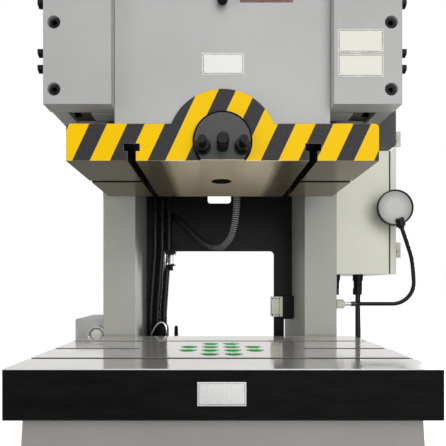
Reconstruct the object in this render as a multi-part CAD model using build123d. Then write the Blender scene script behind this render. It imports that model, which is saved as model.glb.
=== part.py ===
from build123d import *
import math
import os

# A gap-frame mechanical stamping press, in millimetres, +Z up, front towards -Y, +X to the right.
# While modelling, Y is measured from the slide's axis. save() moves every piece so that the
# origin is the centre of the four anchor holes, on the floor.

# Die space and table
BOLSTER_WIDTH = 1150.0
BOLSTER_DEPTH = 680.0
BOLSTER_THICK = 135.0
TABLE_HEIGHT = 850.0
DAYLIGHT = 573.0
STROKE = 180.0
BOLSTER_REAR_GAP = 10.0

# Welded frame
SLIDE_SIDE_ROOM = 51.5
COLUMN_WIDTH = 137.0
COLUMN_DEPTH = 500.0
THROAT_RADIUS = 150.0
JAW_RISE = 155.0
REAR_PLATE_THICK = 40.0
CROWN_ROOM = 60.0
CROWN_TOP_THICK = 25.0
BULKHEAD_THICK = 60.0
BULKHEAD_GAP = 5.0
REAR_BEAM_RISE = 122.0

# Bed below the table
BED_OVERHANG = 38.5
BED_SETBACK = 40.0
BED_FLARE = 43.0
FRONT_PLATE_THICK = 40.0
BED_PLATE_THICK = 70.0
CUSHION_HOLE_RADIUS = 190.0
TOE_HALF_WIDTH = 330.0
TOE_HEIGHT = 90.0
TOE_RADIUS = 60.0
SIDE_WINDOW_LENGTH = 320.0
SIDE_WINDOW_HEIGHT = 240.0
SIDE_WINDOW_SILL = 260.0
SIDE_WINDOW_RADIUS = 60.0
SIDE_WINDOW_CENTRE = 40.0

# Feet and anchor holes
FOOT_WIDTH = 138.0
FOOT_THICK = 40.0
ANCHOR_RADIUS = 14.0
ANCHOR_INSET = 54.0
ANCHOR_FRONT_INSET = 110.0
ANCHOR_REAR_INSET = 130.0
GUSSET_THICK = 25.0
GUSSET_HEIGHT = 110.0
GUSSET_OFFSET = 70.0

# Rear guard sheet between the columns
GUARD_SHEET_BACK = 290.0
GUARD_SHEET_THICK = 8.0
GUARD_LEG_WIDTH = 91.0
GUARD_NOTCH_WIDTH = 40.0
GUARD_NOTCH_RISE = 47.5
GUARD_OPENING_RISE = 387.0
GUARD_OPENING_RADIUS = 20.0
GUARD_SLOT_WIDTH = 116.0
GUARD_SLOT_RISE = 627.0
GUARD_SLOT_HEIGHT = 80.0
GUARD_SLOT_RADIUS = 14.0

# Slide
SLIDE_HEIGHT = 677.0
SLIDE_BODY_WIDTH = 626.0
SLIDE_BODY_DEPTH = 430.0
FLANGE_SIDE_REACH = 135.0
FLANGE_PROUD = 17.0
FLANGE_THICK = 107.0
FLANGE_CORNER = 12.0
HUMP_RADIUS = 158.0
HUMP_CENTRE_RISE = 49.0
WING_WIDTH = 78.0
WING_THICK = 50.0
CAVITY_HALF_WIDTH = 168.0
CAVITY_HALF_DEPTH = 74.0
CAVITY_WALL = 19.0
SLIDE_SLOT_OFFSET = 260.0

# T-slots of the table and the slide
T_NECK_WIDTH = 24.0
T_NECK_DEPTH = 28.0
T_HEAD_WIDTH = 46.0
T_HEAD_HEIGHT = 22.0
TABLE_SLOT_PITCH = 185.0
TABLE_MIDDLE_SLOT_INNER = 280.0

# Cushion pin holes of the table
PIN_PITCH = 75.0
PIN_HOLE_RADIUS = 30.0
PIN_GRID = 4
PLUG_THICK = 22.0
PLUG_SINK = 1.5
PLUG_RECESS_RADIUS = 22.0
PLUG_RECESS_DEPTH = 14.0

# Shank clamp in the slide
SHANK_RADIUS = 35.0
SHANK_DEPTH = 75.0
CLAMP_RADIUS = 85.0
CLAMP_RISE = 56.0
CLAMP_CLEARANCE = 0.4
CLAMP_PROUD = 9.0
CLAMP_STUD_INSET = 28.5
CLAMP_STUD_RISE = 38.0
CLAMP_STUD_RADIUS = 11.0
CLAMP_STUD_REACH = 66.0
CLAMP_STUD_DEPTH = 120.0
CLAMP_NUT_FLATS = 36.0
CLAMP_NUT_THICK = 22.0
CLAMP_WASHER_RADIUS = 24.0
CLAMP_WASHER_THICK = 6.0
CLAMP_SCREW_RADIUS = 17.0
CLAMP_SCREW_RISE = 40.0
CLAMP_SCREW_REACH = 65.0
CLAMP_SCREW_CHAMFER = 2.5

# Slide guides
GIB_PLATE_THICK = 56.0
GIB_PLATE_PROUD = 35.0
GIB_PLATE_GAP = 1.0
GIB_PLATE_OVERHANG = 4.5
GIB_LINER_THICK = 12.0
GIB_CLEARANCE = 0.3
GIB_REAR_THICK = 31.0
GIB_REAR_GAP = 9.0
GIB_SIDE_WIDTH = 39.0
GIB_END_GAP = 12.0
REBATE_WIDTH = 92.0
GUIDE_OVERRUN = 20.0
GIB_SCREW_INSET = 26.0
GIB_SCREW_FIRST = 42.0
GIB_SCREW_LAST = 122.0
GIB_SCREW_COUNT = 3
GIB_SCREW_RADIUS = 9.0
GIB_SCREW_HEAD_RADIUS = 13.5
GIB_SCREW_HEAD_HEIGHT = 20.0
GIB_SCREW_HEX_FLATS = 14.0
GIB_SCREW_HEX_DEPTH = 11.0
GIB_SCREW_GRIP = 40.0
GIB_SCREW_SINK = 6.0
COUNTERBORE_GAP = 4.7
ADJUSTER_FIRST = 171.5
ADJUSTER_LAST = 173.5
ADJUSTER_PAIR_PITCH = 48.0
ADJUSTER_COUNT = 2
ADJUSTER_RADIUS = 8.0
ADJUSTER_HEAD_FLATS = 24.0
ADJUSTER_HEAD_THICK = 14.0
ADJUSTER_NUT_THICK = 12.0
ADJUSTER_REACH = 56.0
LOCK_STRIP_THICK = 4.0
LOCK_STRIP_WIDTH = 34.0
LOCK_STRIP_OVERHANG = 18.0

# Crank drive
CRANK_RISE = 160.0
JOURNAL_RADIUS = 65.0
CRANK_PIN_RADIUS = 70.0
WEB_THICK = 39.5
WEB_EDGE = 18.0
CONROD_WIDTH = 90.0
CONROD_SIDE_GAP = 0.5
BIG_END_WALL = 55.0
SHANK_WIDTH_TOP = 130.0
SHANK_WIDTH_BOTTOM = 84.0
SHANK_THICK = 76.0
BALL_RADIUS = 60.0
BALL_NECK_RADIUS = 38.0
BALL_NECK_LENGTH = 120.0
CUP_DROP = 24.0
CUP_RADIUS = 70.0
CUP_BASE = 23.0
CUP_RECESS = 3.0
CONROD_BOLT_ROOM = 28.0
CONROD_BOLT_RADIUS = 11.0
CONROD_BOLT_LENGTH = 90.0
CONROD_BOLT_HEAD_FLATS = 34.0
CONROD_BOLT_HEAD_THICK = 16.0
CONROD_BOLT_SEAT_RISE = 50.0
BUSH_WALL = 15.0
RUNNING_GAP = 0.05
FACE_GAP = 0.4
CRANK_STUB_RADIUS = 35.0
LINE_SHAFT_STEP = 5.0
FLYWHEEL_SEAT_RADIUS = 45.0
DIAL_RADIUS = 130.0
DIAL_THICK = 10.0
DIAL_BORE_RADIUS = 42.0
POINTER_HUB_RADIUS = 32.0
POINTER_THICK = 8.0
POINTER_LENGTH = 104.0
POINTER_TIP_WIDTH = 6.0

# Counterbalance cylinders
BALANCE_INSET = 28.0
BALANCE_RADIUS = 45.0
BALANCE_WALL = 7.0
BALANCE_ROOM = 110.0
BALANCE_GAP = 30.0
BALANCE_CAP = 15.0
BALANCE_ROD_RADIUS = 16.0
BALANCE_PISTON_THICK = 20.0
BALANCE_PISTON_GAP = 0.1
BALANCE_SHELF_THICK = 20.0

# Flywheel, belt and motor
FLYWHEEL_RADIUS = 380.0
FLYWHEEL_WIDTH = 120.0
FLYWHEEL_GAP = 32.0
FLYWHEEL_RIM = 90.0
FLYWHEEL_WEB = 36.0
FLYWHEEL_HUB_RADIUS = 95.0
FLYWHEEL_HOLE_RADIUS = 50.0
FLYWHEEL_HOLES = 6
CLUTCH_RADIUS = 150.0
CLUTCH_THICK = 34.0
BELT_THICK = 9.0
BELT_WIDTH = 76.0
BELT_GAP = 0.3
PULLEY_RADIUS = 75.0
PULLEY_WIDTH = 92.0
PULLEY_GAP = 25.0
MOTOR_FLOOR_GAP = 12.0
MOTOR_PAD_LEAST = 20.0
MOTOR_PAD_EDGE = 8.0
MOTOR_RADIUS = 128.0
MOTOR_FIN_REACH = 20.0
MOTOR_FIN_THICK = 4.0
MOTOR_FINS = 28
MOTOR_LENGTH = 330.0
MOTOR_REAR_INSET = 130.0
MOTOR_SHIELD_THICK = 30.0
MOTOR_FOOT_WIDTH = 60.0
MOTOR_FOOT_THICK = 22.0
MOTOR_FOOT_INSET = 1.0
MOTOR_SHAFT_RADIUS = 21.0
MOTOR_BOX_SIZE = 120.0
MOTOR_BOX_HEIGHT = 62.0
FAN_COVER_LENGTH = 88.0
FAN_COVER_WALL = 3.0
FAN_SLOT_RADII_SHARES = (0.3, 0.5, 0.7)
FAN_SLOT_WIDTH = 12.0

# Sheet guard over flywheel and belt
GUARD_WALL = 3.0
GUARD_GAP = 22.0
GUARD_PULLEY_GAP = 30.0
GUARD_REAR_GAP = 31.0
GUARD_STANDOFF = 2.0
GUARD_VENT_LENGTH = 300.0
GUARD_VENT_WIDTH = 14.0
GUARD_VENT_PITCH = 40.0
GUARD_VENTS = 9
GUARD_SHAFT_GAP = 14.0

# Electrical cabinet on the right-hand side
CABINET_DEPTH = 276.0
CABINET_LENGTH = 400.0
CABINET_HEIGHT = 740.0
CABINET_BOTTOM_RISE = 268.0
CABINET_SETBACK = 120.0
CABINET_WALL = 3.0
SEAL_THICK = 7.0
SEAL_WIDTH = 14.0
SEAL_INSET = 3.0
DOOR_THICK = 26.0
DOOR_WALL = 3.0
LATCH_INSET = 24.0
LATCH_END_INSET = 112.0
LATCH_RADIUS = 15.0
LATCH_HEIGHT = 12.0
LATCH_SHAFT_RADIUS = 6.0
LATCH_WING_LENGTH = 70.0
LATCH_WING_WIDTH = 9.0
LATCH_WING_HEIGHT = 18.0
SWITCH_RADIUS = 32.0
SWITCH_HEIGHT = 14.0
SWITCH_GRIP_WIDTH = 14.0
SWITCH_GRIP_HEIGHT = 22.0
SWITCH_SHAFT_RADIUS = 5.0
HINGE_RADIUS = 7.0
HINGE_PIN_RADIUS = 4.0
HINGE_HALF_HEIGHT = 30.0
HINGE_SPLIT_GAP = 0.3
HINGE_END_INSET = 130.0
HINGE_STANDOFF = 9.0
HINGE_STRAP_LENGTH = 46.0
HINGE_STRAP_THICK = 3.0
MOUNTING_PLATE_STANDOFF = 22.0
MOUNTING_PLATE_THICK = 3.0
MOUNTING_PLATE_INSET = 40.0
STANDOFF_RADIUS = 6.0
DEVICE_ROWS = 3
DEVICES_PER_ROW = 5
DEVICE_WIDTH = 48.0
DEVICE_HEIGHT = 90.0
DEVICE_DEPTH = 75.0
DEVICE_GAP = 10.0
DEVICE_ROW_PITCH = 190.0
DEVICE_NOSE_SHARE = 0.55

# Cable from the cabinet down to the bed junction box
CABLE_RADIUS = 12.0
CABLE_OFFSET = 155.0
CABLE_SETBACK = 60.0
GLAND_BODY_RADIUS = 24.0
GLAND_NUT_FLATS = 42.0
GLAND_BODY_LENGTH = 66.0
GLAND_NUT_LENGTH = 30.0
GLAND_RIB = 4.0
SPARE_GLAND_OFFSET = 47.0
JUNCTION_EDGE = 43.0
JUNCTION_LENGTH = 130.0
JUNCTION_TOP_DROP = 230.0
JUNCTION_HEIGHT = 160.0
JUNCTION_CORNER = 10.0

# Gooseneck work light
LAMP_SETBACK = 45.0
LAMP_RISE = 135.0
LAMP_FLANGE_RADIUS = 28.5
LAMP_FLANGE_THICK = 8.0
LAMP_COLLAR_RADIUS = 21.0
LAMP_RIB_PITCH = 8.0
LAMP_RIB_DEPTH = 1.5
LAMP_RIBS = 4
LAMP_TAPER_LENGTH = 10.0
LAMP_STEM_RADIUS = 8.0
LAMP_STEM_LENGTH = 26.0
LAMP_FERRULE_RADIUS = 10.5
LAMP_FERRULE_LENGTH = 22.0
GOOSENECK_RADIUS = 8.5
GOOSENECK_REACH = 362.0
GOOSENECK_MIDDLE_REACH = 346.0
GOOSENECK_MIDDLE_RISE = 200.0
GOOSENECK_END_REACH = 301.0
GOOSENECK_END_RISE = 334.0
GOOSENECK_LOWER_RADIUS = 95.0
GOOSENECK_UPPER_RADIUS = 330.0
LAMP_HEAD_RADIUS = 79.0
LAMP_HEAD_DEPTH = 46.0
LAMP_HEAD_WALL = 3.0
LAMP_RIM_DEPTH = 14.0
LAMP_CROWN_SHARE = 0.55
LAMP_LENS_SINK = 5.0
LAMP_LENS_THICK = 4.0
LAMP_NUT_RADIUS = 13.0
LAMP_NUT_LENGTH = 8.0
LAMP_NECK_RADIUS = 20.0
LAMP_NECK_LENGTH = 19.0
LAMP_CLIP_REACH = 26.0

# Small equipment on the frame
LUBE_COVER_WIDTH = 58.0
LUBE_COVER_LENGTH = 30.0
LUBE_COVER_DROP = 70.0
LUBE_COVER_HEIGHT = 300.0
LUBE_COVER_GAP = 48.7
LUBE_COVER_CORNER = 14.0
AIR_BOX_WIDTH = 146.0
AIR_BOX_LENGTH = 290.0
AIR_BOX_HEIGHT = 225.0
AIR_BOX_RISE = 65.0
AIR_BOX_SETBACK = 60.0
AIR_BOX_CORNER = 20.0
GAUGE_RADIUS = 39.0
GAUGE_THICK = 26.0
GAUGE_BEZEL = 5.0
GAUGE_SIDE_GAP = 1.5
GAUGE_DROP = 66.0
SWITCH_BOX_RISE = 60.0
SWITCH_BOX_HEIGHT = 104.0
SWITCH_BOX_WIDTH = 55.0
SWITCH_BOX_LENGTH = 52.0
SWITCH_COVER_WIDTH = 53.0
SWITCH_COVER_INSET = 3.0
SWITCH_GROOVE_WIDTH = 4.0
SWITCH_GROOVE_DEPTH = 8.0
SWITCH_LIP_WIDTH = 14.0
MANIFOLD_WIDTH = 118.0
MANIFOLD_LENGTH = 50.0
MANIFOLD_HEIGHT = 50.0
MANIFOLD_LOW_DROP = 110.0
MANIFOLD_HIGH_DROP = 70.0
SENSOR_OFFSET = 90.0
SENSOR_RADIUS = 31.0
SENSOR_GAP = 4.0
SENSOR_HEIGHT = 147.0
SENSOR_ROUND = 26.0
SENSOR_STUB_RADIUS = 12.0
HOSE_RADIUS = 13.0
HOSE_PITCH = 34.0
HOSE_LEAN = 22.0
HOSE_STRAIGHT = 150.0
HOSE_LEAN_LENGTH = 300.0
HOSE_BEND_RADIUS = 600.0
HOSE_COUNT = 3
REGULATOR_RISE = 318.0
REGULATOR_OFFSET = 2.0
REGULATOR_HEAD = 46.0
REGULATOR_HEAD_HEIGHT = 20.0
BRACKET_GAP = 1.5
BRACKET_HEIGHT = 32.0
BRACKET_THICK = 6.0
BOWL_RADIUS = 20.0
BOWL_HEIGHT = 46.0
BOWL_WALL = 2.5
BOWL_RING_EDGE = 2.0
BOWL_RING_HEIGHT = 8.0
REGULATOR_KNOB_RADIUS = 11.0
REGULATOR_KNOB_HEIGHT = 22.0
VALVE_RADIUS = 17.0
VALVE_LENGTH = 70.0
LEVER_LENGTH = 104.0
LEVER_WIDTH = 22.0
LEVER_TIP_RADIUS = 8.0
LEVER_THICK = 10.0
LEVER_SPINDLE_RADIUS = 7.0

# Lever on the slide's front that locks the height adjuster
ADJUST_LEVER_DROP = 137.0
ADJUST_LEVER_HUB_RADIUS = 22.0
ADJUST_LEVER_HUB_LENGTH = 40.0
ADJUST_LEVER_LENGTH = 94.0
ADJUST_LEVER_STEM_RADIUS = 11.0
ADJUST_LEVER_GRIP_RADIUS = 15.5
ADJUST_LEVER_GRIP_LENGTH = 40.0
ADJUST_SPINDLE_RADIUS = 9.0
ADJUST_SPINDLE_DEPTH = 30.0

# Flexible conduit that follows the slide: its route is level distance from its top end, and drop below it
CONDUIT_RADIUS = 14.0
CONDUIT_OFFSET = 69.0
CONDUIT_STANDOFF = 47.0
CONDUIT_RISE = 125.0
CONDUIT_ROUTE = (
    (0.0, 0.0),
    (0.0, 108.0),
    (8.0, 214.0),
    (45.0, 296.0),
    (122.0, 326.0),
    (212.0, 300.0),
    (300.0, 248.0),
    (382.0, 194.0),
    (456.0, 154.0),
)
CONDUIT_RUN_X = -277.0
CONDUIT_RUN_Y = 360.0
BEND_SHARE = 0.45
FITTING_RADIUS = 18.0
FITTING_LENGTH = 26.0
BOSS_WIDTH = 44.0
BOSS_HEIGHT = 30.0

# Shared allowances
CUT = 5.0
EDGE_CHAMFER = 2.0

# Places worked out from the sizes above
SLIDE_BODY_FRONT = -SLIDE_BODY_DEPTH / 2
SLIDE_BODY_BACK = SLIDE_BODY_DEPTH / 2
FLANGE_WIDTH = SLIDE_BODY_WIDTH + 2 * FLANGE_SIDE_REACH
FLANGE_DEPTH = SLIDE_BODY_DEPTH + 2 * FLANGE_PROUD
GIB_PLATE_FRONT = SLIDE_BODY_DEPTH / 2 + GIB_PLATE_PROUD
GIB_REAR_INNER = SLIDE_BODY_WIDTH / 2 + GIB_REAR_GAP
COLUMN_INNER = SLIDE_BODY_WIDTH / 2 + SLIDE_SIDE_ROOM
THROAT = BOLSTER_DEPTH / 2 + BOLSTER_REAR_GAP
FRAME_HALF = COLUMN_INNER + COLUMN_WIDTH
FRAME_REAR = THROAT + COLUMN_DEPTH
BED_HALF_WIDTH = FRAME_HALF + BED_OVERHANG
BED_TOP = TABLE_HEIGHT - BOLSTER_THICK
BED_FRONT = -BOLSTER_DEPTH / 2 + BED_SETBACK
BED_INNER_FRONT = BED_FRONT + FRONT_PLATE_THICK
SLIDE_BOTTOM = TABLE_HEIGHT + DAYLIGHT
SLIDE_TOP = SLIDE_BOTTOM + SLIDE_HEIGHT
FLANGE_TOP = SLIDE_BOTTOM + FLANGE_THICK
JAW_BOTTOM = SLIDE_BOTTOM + JAW_RISE
REAR_BEAM_BOTTOM = JAW_BOTTOM + REAR_BEAM_RISE
GUIDE_TOP = SLIDE_TOP + GUIDE_OVERRUN
CRANK_Z = SLIDE_TOP + CRANK_RISE
CRANK_PIN_Z = CRANK_Z + STROKE / 2
BIG_END_RADIUS = CRANK_PIN_RADIUS + BIG_END_WALL
CONROD_BOLT_OFFSET = CRANK_PIN_RADIUS + CONROD_BOLT_ROOM
WEB_RADIUS = CRANK_PIN_RADIUS + WEB_EDGE
LINE_SHAFT_RADIUS = JOURNAL_RADIUS - LINE_SHAFT_STEP
CROWN_TOP = CRANK_PIN_Z + BIG_END_RADIUS + CROWN_ROOM + CROWN_TOP_THICK
JAW_FRONT = -GIB_PLATE_FRONT + GIB_PLATE_THICK
WING_FRONT = JAW_FRONT + GIB_LINER_THICK + GIB_CLEARANCE
WING_BACK = WING_FRONT + WING_THICK
REBATE_BACK = WING_BACK + GIB_CLEARANCE + GIB_REAR_THICK
WING_OUTER = SLIDE_BODY_WIDTH / 2 + WING_WIDTH
GIB_PLATE_INNER = SLIDE_BODY_WIDTH / 2 + GIB_PLATE_GAP
REBATE_OUTER = COLUMN_INNER + REBATE_WIDTH
GIB_SCREW_X = FRAME_HALF - GIB_SCREW_INSET
GIB_SCREW_PITCH = (GUIDE_TOP - JAW_BOTTOM - GIB_SCREW_FIRST - GIB_SCREW_LAST) / (GIB_SCREW_COUNT - 1)
ADJUSTER_Y = (WING_FRONT + WING_BACK) / 2
ADJUSTER_PITCH = (GUIDE_TOP - JAW_BOTTOM - ADJUSTER_FIRST - ADJUSTER_LAST) / (ADJUSTER_COUNT - 1)
LUBE_COVER_FRONT = ADJUSTER_Y + LOCK_STRIP_WIDTH / 2 + LUBE_COVER_GAP
FOOT_FRONT = BED_INNER_FRONT
ANCHOR_X = FRAME_HALF + FOOT_WIDTH - ANCHOR_INSET
ANCHOR_FRONT_Y = FOOT_FRONT + ANCHOR_FRONT_INSET
ANCHOR_REAR_Y = FRAME_REAR - ANCHOR_REAR_INSET
ORIGIN_Y = (ANCHOR_FRONT_Y + ANCHOR_REAR_Y) / 2
GUARD_SHEET_Y = THROAT + GUARD_SHEET_BACK
WEB_INNER = CONROD_WIDTH / 2 + CONROD_SIDE_GAP
WEB_OUTER = WEB_INNER + WEB_THICK
BULKHEAD_INNER = WEB_OUTER + BULKHEAD_GAP
CLAMP_Z = SLIDE_BOTTOM + CLAMP_RISE
CLAMP_STUD_OFFSET = CLAMP_RADIUS - CLAMP_STUD_INSET
CAVITY_FLOOR = CLAMP_Z + CLAMP_RADIUS + CAVITY_WALL
CUP_HEIGHT = CUP_BASE + CUP_RECESS
BALL_Z = CAVITY_FLOOR + CUP_BASE + CUP_DROP + BALL_RADIUS
BALANCE_OFFSET = SLIDE_BODY_WIDTH / 2 - BALANCE_INSET
BALANCE_BORE_RADIUS = BALANCE_RADIUS - BALANCE_WALL
BALANCE_LENGTH = STROKE + BALANCE_ROOM
FLANGE_FRONT = -FLANGE_DEPTH / 2
CLAMP_FRONT = FLANGE_FRONT - CLAMP_PROUD
FLYWHEEL_FRONT = FRAME_REAR + FLYWHEEL_GAP
FLYWHEEL_BACK = FLYWHEEL_FRONT + FLYWHEEL_WIDTH
FLYWHEEL_MID = (FLYWHEEL_FRONT + FLYWHEEL_BACK) / 2
CLUTCH_FRONT = FLYWHEEL_BACK + FACE_GAP
CLUTCH_BACK = FLYWHEEL_BACK + CLUTCH_THICK
GUARD_BACK = CLUTCH_BACK + GUARD_REAR_GAP + GUARD_WALL
BELT_CENTRES = FLYWHEEL_RADIUS + PULLEY_RADIUS + PULLEY_GAP
MOTOR_AXIS_RISE = MOTOR_RADIUS + MOTOR_FIN_REACH + MOTOR_FLOOR_GAP
MOTOR_PAD_THICK = max(MOTOR_PAD_LEAST, CRANK_Z + BELT_CENTRES - MOTOR_AXIS_RISE - CROWN_TOP)
MOTOR_FOOT_SPREAD = MOTOR_RADIUS - MOTOR_FOOT_INSET
MOTOR_PAD_HALF = MOTOR_FOOT_SPREAD + MOTOR_FOOT_WIDTH / 2 + MOTOR_PAD_EDGE
MOTOR_Z = CROWN_TOP + MOTOR_PAD_THICK + MOTOR_AXIS_RISE
MOTOR_BACK = FRAME_REAR - MOTOR_REAR_INSET
MOTOR_FRONT = MOTOR_BACK - MOTOR_LENGTH
CABINET_FRONT = THROAT + CABINET_SETBACK
CABINET_BACK = CABINET_FRONT + CABINET_LENGTH
CABINET_BOTTOM = TABLE_HEIGHT + CABINET_BOTTOM_RISE
CABINET_TOP = CABINET_BOTTOM + CABINET_HEIGHT
CABINET_FACE = FRAME_HALF + CABINET_DEPTH
DOOR_BACK = CABINET_FACE + SEAL_THICK
DOOR_FACE = DOOR_BACK + DOOR_THICK
HINGE_X = DOOR_BACK + HINGE_RADIUS
HINGE_Y = CABINET_BACK + HINGE_STANDOFF
HINGE_Z = (CABINET_BOTTOM + HINGE_END_INSET, CABINET_TOP - HINGE_END_INSET)
LATCH_Y = CABINET_FRONT + LATCH_INSET
LATCH_Z = (CABINET_BOTTOM + LATCH_END_INSET, CABINET_TOP - LATCH_END_INSET)
SWITCH_Y = (CABINET_FRONT + CABINET_BACK) / 2
SWITCH_Z = (CABINET_BOTTOM + CABINET_TOP) / 2
CABLE_X = FRAME_HALF + CABLE_OFFSET
CABLE_Y = CABINET_FRONT + CABLE_SETBACK
JUNCTION_TOP = TABLE_HEIGHT - JUNCTION_TOP_DROP
LAMP_Y = THROAT + LAMP_SETBACK
LAMP_Z = TABLE_HEIGHT + LAMP_RISE
LAMP_COLLAR_END = FRAME_HALF + LAMP_FLANGE_THICK + LAMP_RIBS * LAMP_RIB_PITCH + LAMP_TAPER_LENGTH
GOOSENECK_START = LAMP_COLLAR_END + LAMP_STEM_LENGTH + LAMP_FERRULE_LENGTH
VALVE_X = -COLUMN_INNER + MANIFOLD_WIDTH + VALVE_LENGTH / 2
MANIFOLD_Y = (GUARD_SHEET_Y - MANIFOLD_LENGTH, GUARD_SHEET_Y)
MANIFOLD_HIGH = REAR_BEAM_BOTTOM - MANIFOLD_HIGH_DROP
HOSE_MIDDLE = -COLUMN_INNER + MANIFOLD_WIDTH / 2
HOSE_RIGHT = HOSE_MIDDLE + HOSE_PITCH * (HOSE_COUNT - 1) / 2 + HOSE_LEAN + HOSE_RADIUS
GAUGE_X = -FRAME_HALF - GAUGE_RADIUS - GAUGE_SIDE_GAP
ADJUST_LEVER_Z = SLIDE_TOP - ADJUST_LEVER_DROP


def block(x, y, z):
    """A box between three (low, high) pairs."""
    size = Box(x[1] - x[0], y[1] - y[0], z[1] - z[0])
    return Pos((x[0] + x[1]) / 2, (y[0] + y[1]) / 2, (z[0] + z[1]) / 2) * size


def along(axis, solid, span, at):
    """Turns a solid centred on its own Z to an axis, centres it on span and sets the other two places."""
    middle = (span[0] + span[1]) / 2
    if axis == "X":
        return Pos(middle, at[0], at[1]) * Rot(0, 90, 0) * solid
    if axis == "Y":
        return Pos(at[0], middle, at[1]) * Rot(90, 0, 0) * solid
    return Pos(at[0], at[1], middle) * solid


def rod(axis, radius, span, at):
    """A round bar along an axis between the two ends of span."""
    return along(axis, Cylinder(radius, span[1] - span[0]), span, at)


def hex_bar(axis, flats, span, at):
    """A hexagon bar along an axis, by its width across flats."""
    length = span[1] - span[0]
    section = RegularPolygon(flats / 2, 6, major_radius=False)
    bar = Pos(0, 0, -length / 2) * extrude(section, amount=length)
    return along(axis, bar, span, at)


def front_outline(sketch, y):
    """A sketch drawn in X and Z, extruded from y[0] to y[1]."""
    return extrude(Plane.XZ.offset(-y[1]) * sketch, amount=y[1] - y[0])


def side_outline(sketch, x):
    """A sketch drawn in Y and Z, extruded from x[0] to x[1]."""
    return extrude(Plane.YZ.offset(x[0]) * sketch, amount=x[1] - x[0])


def centred_rectangle(x, z, radius=0):
    """A rectangle between two pairs in a sketch, with rounded corners where a radius is given."""
    width = x[1] - x[0]
    height = z[1] - z[0]
    shape = RectangleRounded(width, height, radius) if radius else Rectangle(width, height)
    return Pos((x[0] + x[1]) / 2, (z[0] + z[1]) / 2) * shape


def two_sides(shape):
    """A right-hand piece and its mirror image on the left."""
    return [shape, mirror(shape, about=Plane.YZ)]


def hull_of_circles(low_radius, low_z, high_radius, high_z):
    """The outline of a band stretched round two circles, one above the other."""
    low = Pos(0, low_z) * Circle(low_radius)
    high = Pos(0, high_z) * Circle(high_radius)
    return make_hull(low.edges() + high.edges())


def t_slot(axis, span, centre, mouth, direction):
    """The space of a T-slot that opens at height mouth and runs into the plate in direction."""
    neck_end = mouth + direction * T_NECK_DEPTH
    head_end = neck_end + direction * T_HEAD_HEIGHT
    cut = None
    for width, ends in (
        (T_NECK_WIDTH, sorted((mouth - direction * CUT, neck_end))),
        (T_HEAD_WIDTH, sorted((neck_end, head_end))),
    ):
        across = (centre - width / 2, centre + width / 2)
        space = block(span, across, ends) if axis == "X" else block(across, span, ends)
        cut = space if cut is None else cut + space
    return cut


def save(name, *solids):
    """Writes one node, moved so that the anchor pattern's centre is the origin."""
    moved = [Pos(0, -ORIGIN_Y, 0) * solid for solid in solids]
    shape = moved[0] if len(moved) == 1 else Compound(children=moved)
    export_step(shape, f"parts/{name}.step")


# Frame: two C-shaped side frames with the plates between them


def gib_screw_heights():
    """Heights of the screws that hold each guide plate."""
    return [JAW_BOTTOM + GIB_SCREW_FIRST + i * GIB_SCREW_PITCH for i in range(GIB_SCREW_COUNT)]


def adjuster_heights():
    """Heights of the guide adjusting screws, which sit in pairs."""
    heights = []
    for i in range(ADJUSTER_COUNT):
        middle = JAW_BOTTOM + ADJUSTER_FIRST + i * ADJUSTER_PITCH
        heights += [middle - ADJUSTER_PAIR_PITCH / 2, middle + ADJUSTER_PAIR_PITCH / 2]
    return heights


def side_frame():
    """The right-hand C: column, upper jaw and bed cheek in one thick plate, rebated for the guides."""
    shelf = BED_TOP - BED_PLATE_THICK
    outline = make_face(
        Polyline(
            (BED_INNER_FRONT, 0),
            (BED_INNER_FRONT, shelf),
            (THROAT, shelf),
            (THROAT, JAW_BOTTOM),
            (JAW_FRONT, JAW_BOTTOM),
            (JAW_FRONT, CROWN_TOP),
            (FRAME_REAR, CROWN_TOP),
            (FRAME_REAR, 0),
            close=True,
        )
    )
    corner = outline.vertices().sort_by_distance((THROAT, JAW_BOTTOM, 0))[0]
    outline = fillet(corner, THROAT_RADIUS)
    window = centred_rectangle(
        (SIDE_WINDOW_CENTRE - SIDE_WINDOW_LENGTH / 2, SIDE_WINDOW_CENTRE + SIDE_WINDOW_LENGTH / 2),
        (SIDE_WINDOW_SILL, SIDE_WINDOW_SILL + SIDE_WINDOW_HEIGHT),
        SIDE_WINDOW_RADIUS,
    )
    frame = side_outline(outline - window, (COLUMN_INNER, FRAME_HALF))
    frame -= block(
        (COLUMN_INNER - CUT, REBATE_OUTER),
        (JAW_FRONT - CUT, REBATE_BACK),
        (JAW_BOTTOM - CUT, GUIDE_TOP),
    )
    for z in gib_screw_heights():
        frame -= rod("Y", GIB_SCREW_RADIUS, (JAW_FRONT - CUT, JAW_FRONT + GIB_SCREW_GRIP), (GIB_SCREW_X, z))
    for z in adjuster_heights():
        frame -= rod("X", ADJUSTER_RADIUS, (REBATE_OUTER - CUT, FRAME_HALF + CUT), (ADJUSTER_Y, z))
    return frame + foot()


def bed_front_plate():
    """The front of the bed: it widens towards the floor and is arched for the operator's toes."""
    foot_half = BED_HALF_WIDTH + BED_FLARE
    outline = make_face(
        Polyline(
            (-BED_HALF_WIDTH, BED_TOP),
            (BED_HALF_WIDTH, BED_TOP),
            (foot_half, 0),
            (-foot_half, 0),
            close=True,
        )
    )
    toe = centred_rectangle((-TOE_HALF_WIDTH, TOE_HALF_WIDTH), (-TOE_HEIGHT, TOE_HEIGHT), TOE_RADIUS)
    return front_outline(outline - toe, (BED_FRONT, BED_INNER_FRONT))


def bed_plate():
    """The thick plate that carries the table, with a hole for cushion pins."""
    plate = block(
        (-BED_HALF_WIDTH, BED_HALF_WIDTH), (BED_INNER_FRONT, THROAT), (BED_TOP - BED_PLATE_THICK, BED_TOP)
    )
    return plate - rod("Z", CUSHION_HOLE_RADIUS, (BED_TOP - BED_PLATE_THICK - CUT, BED_TOP + CUT), (0, 0))


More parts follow.
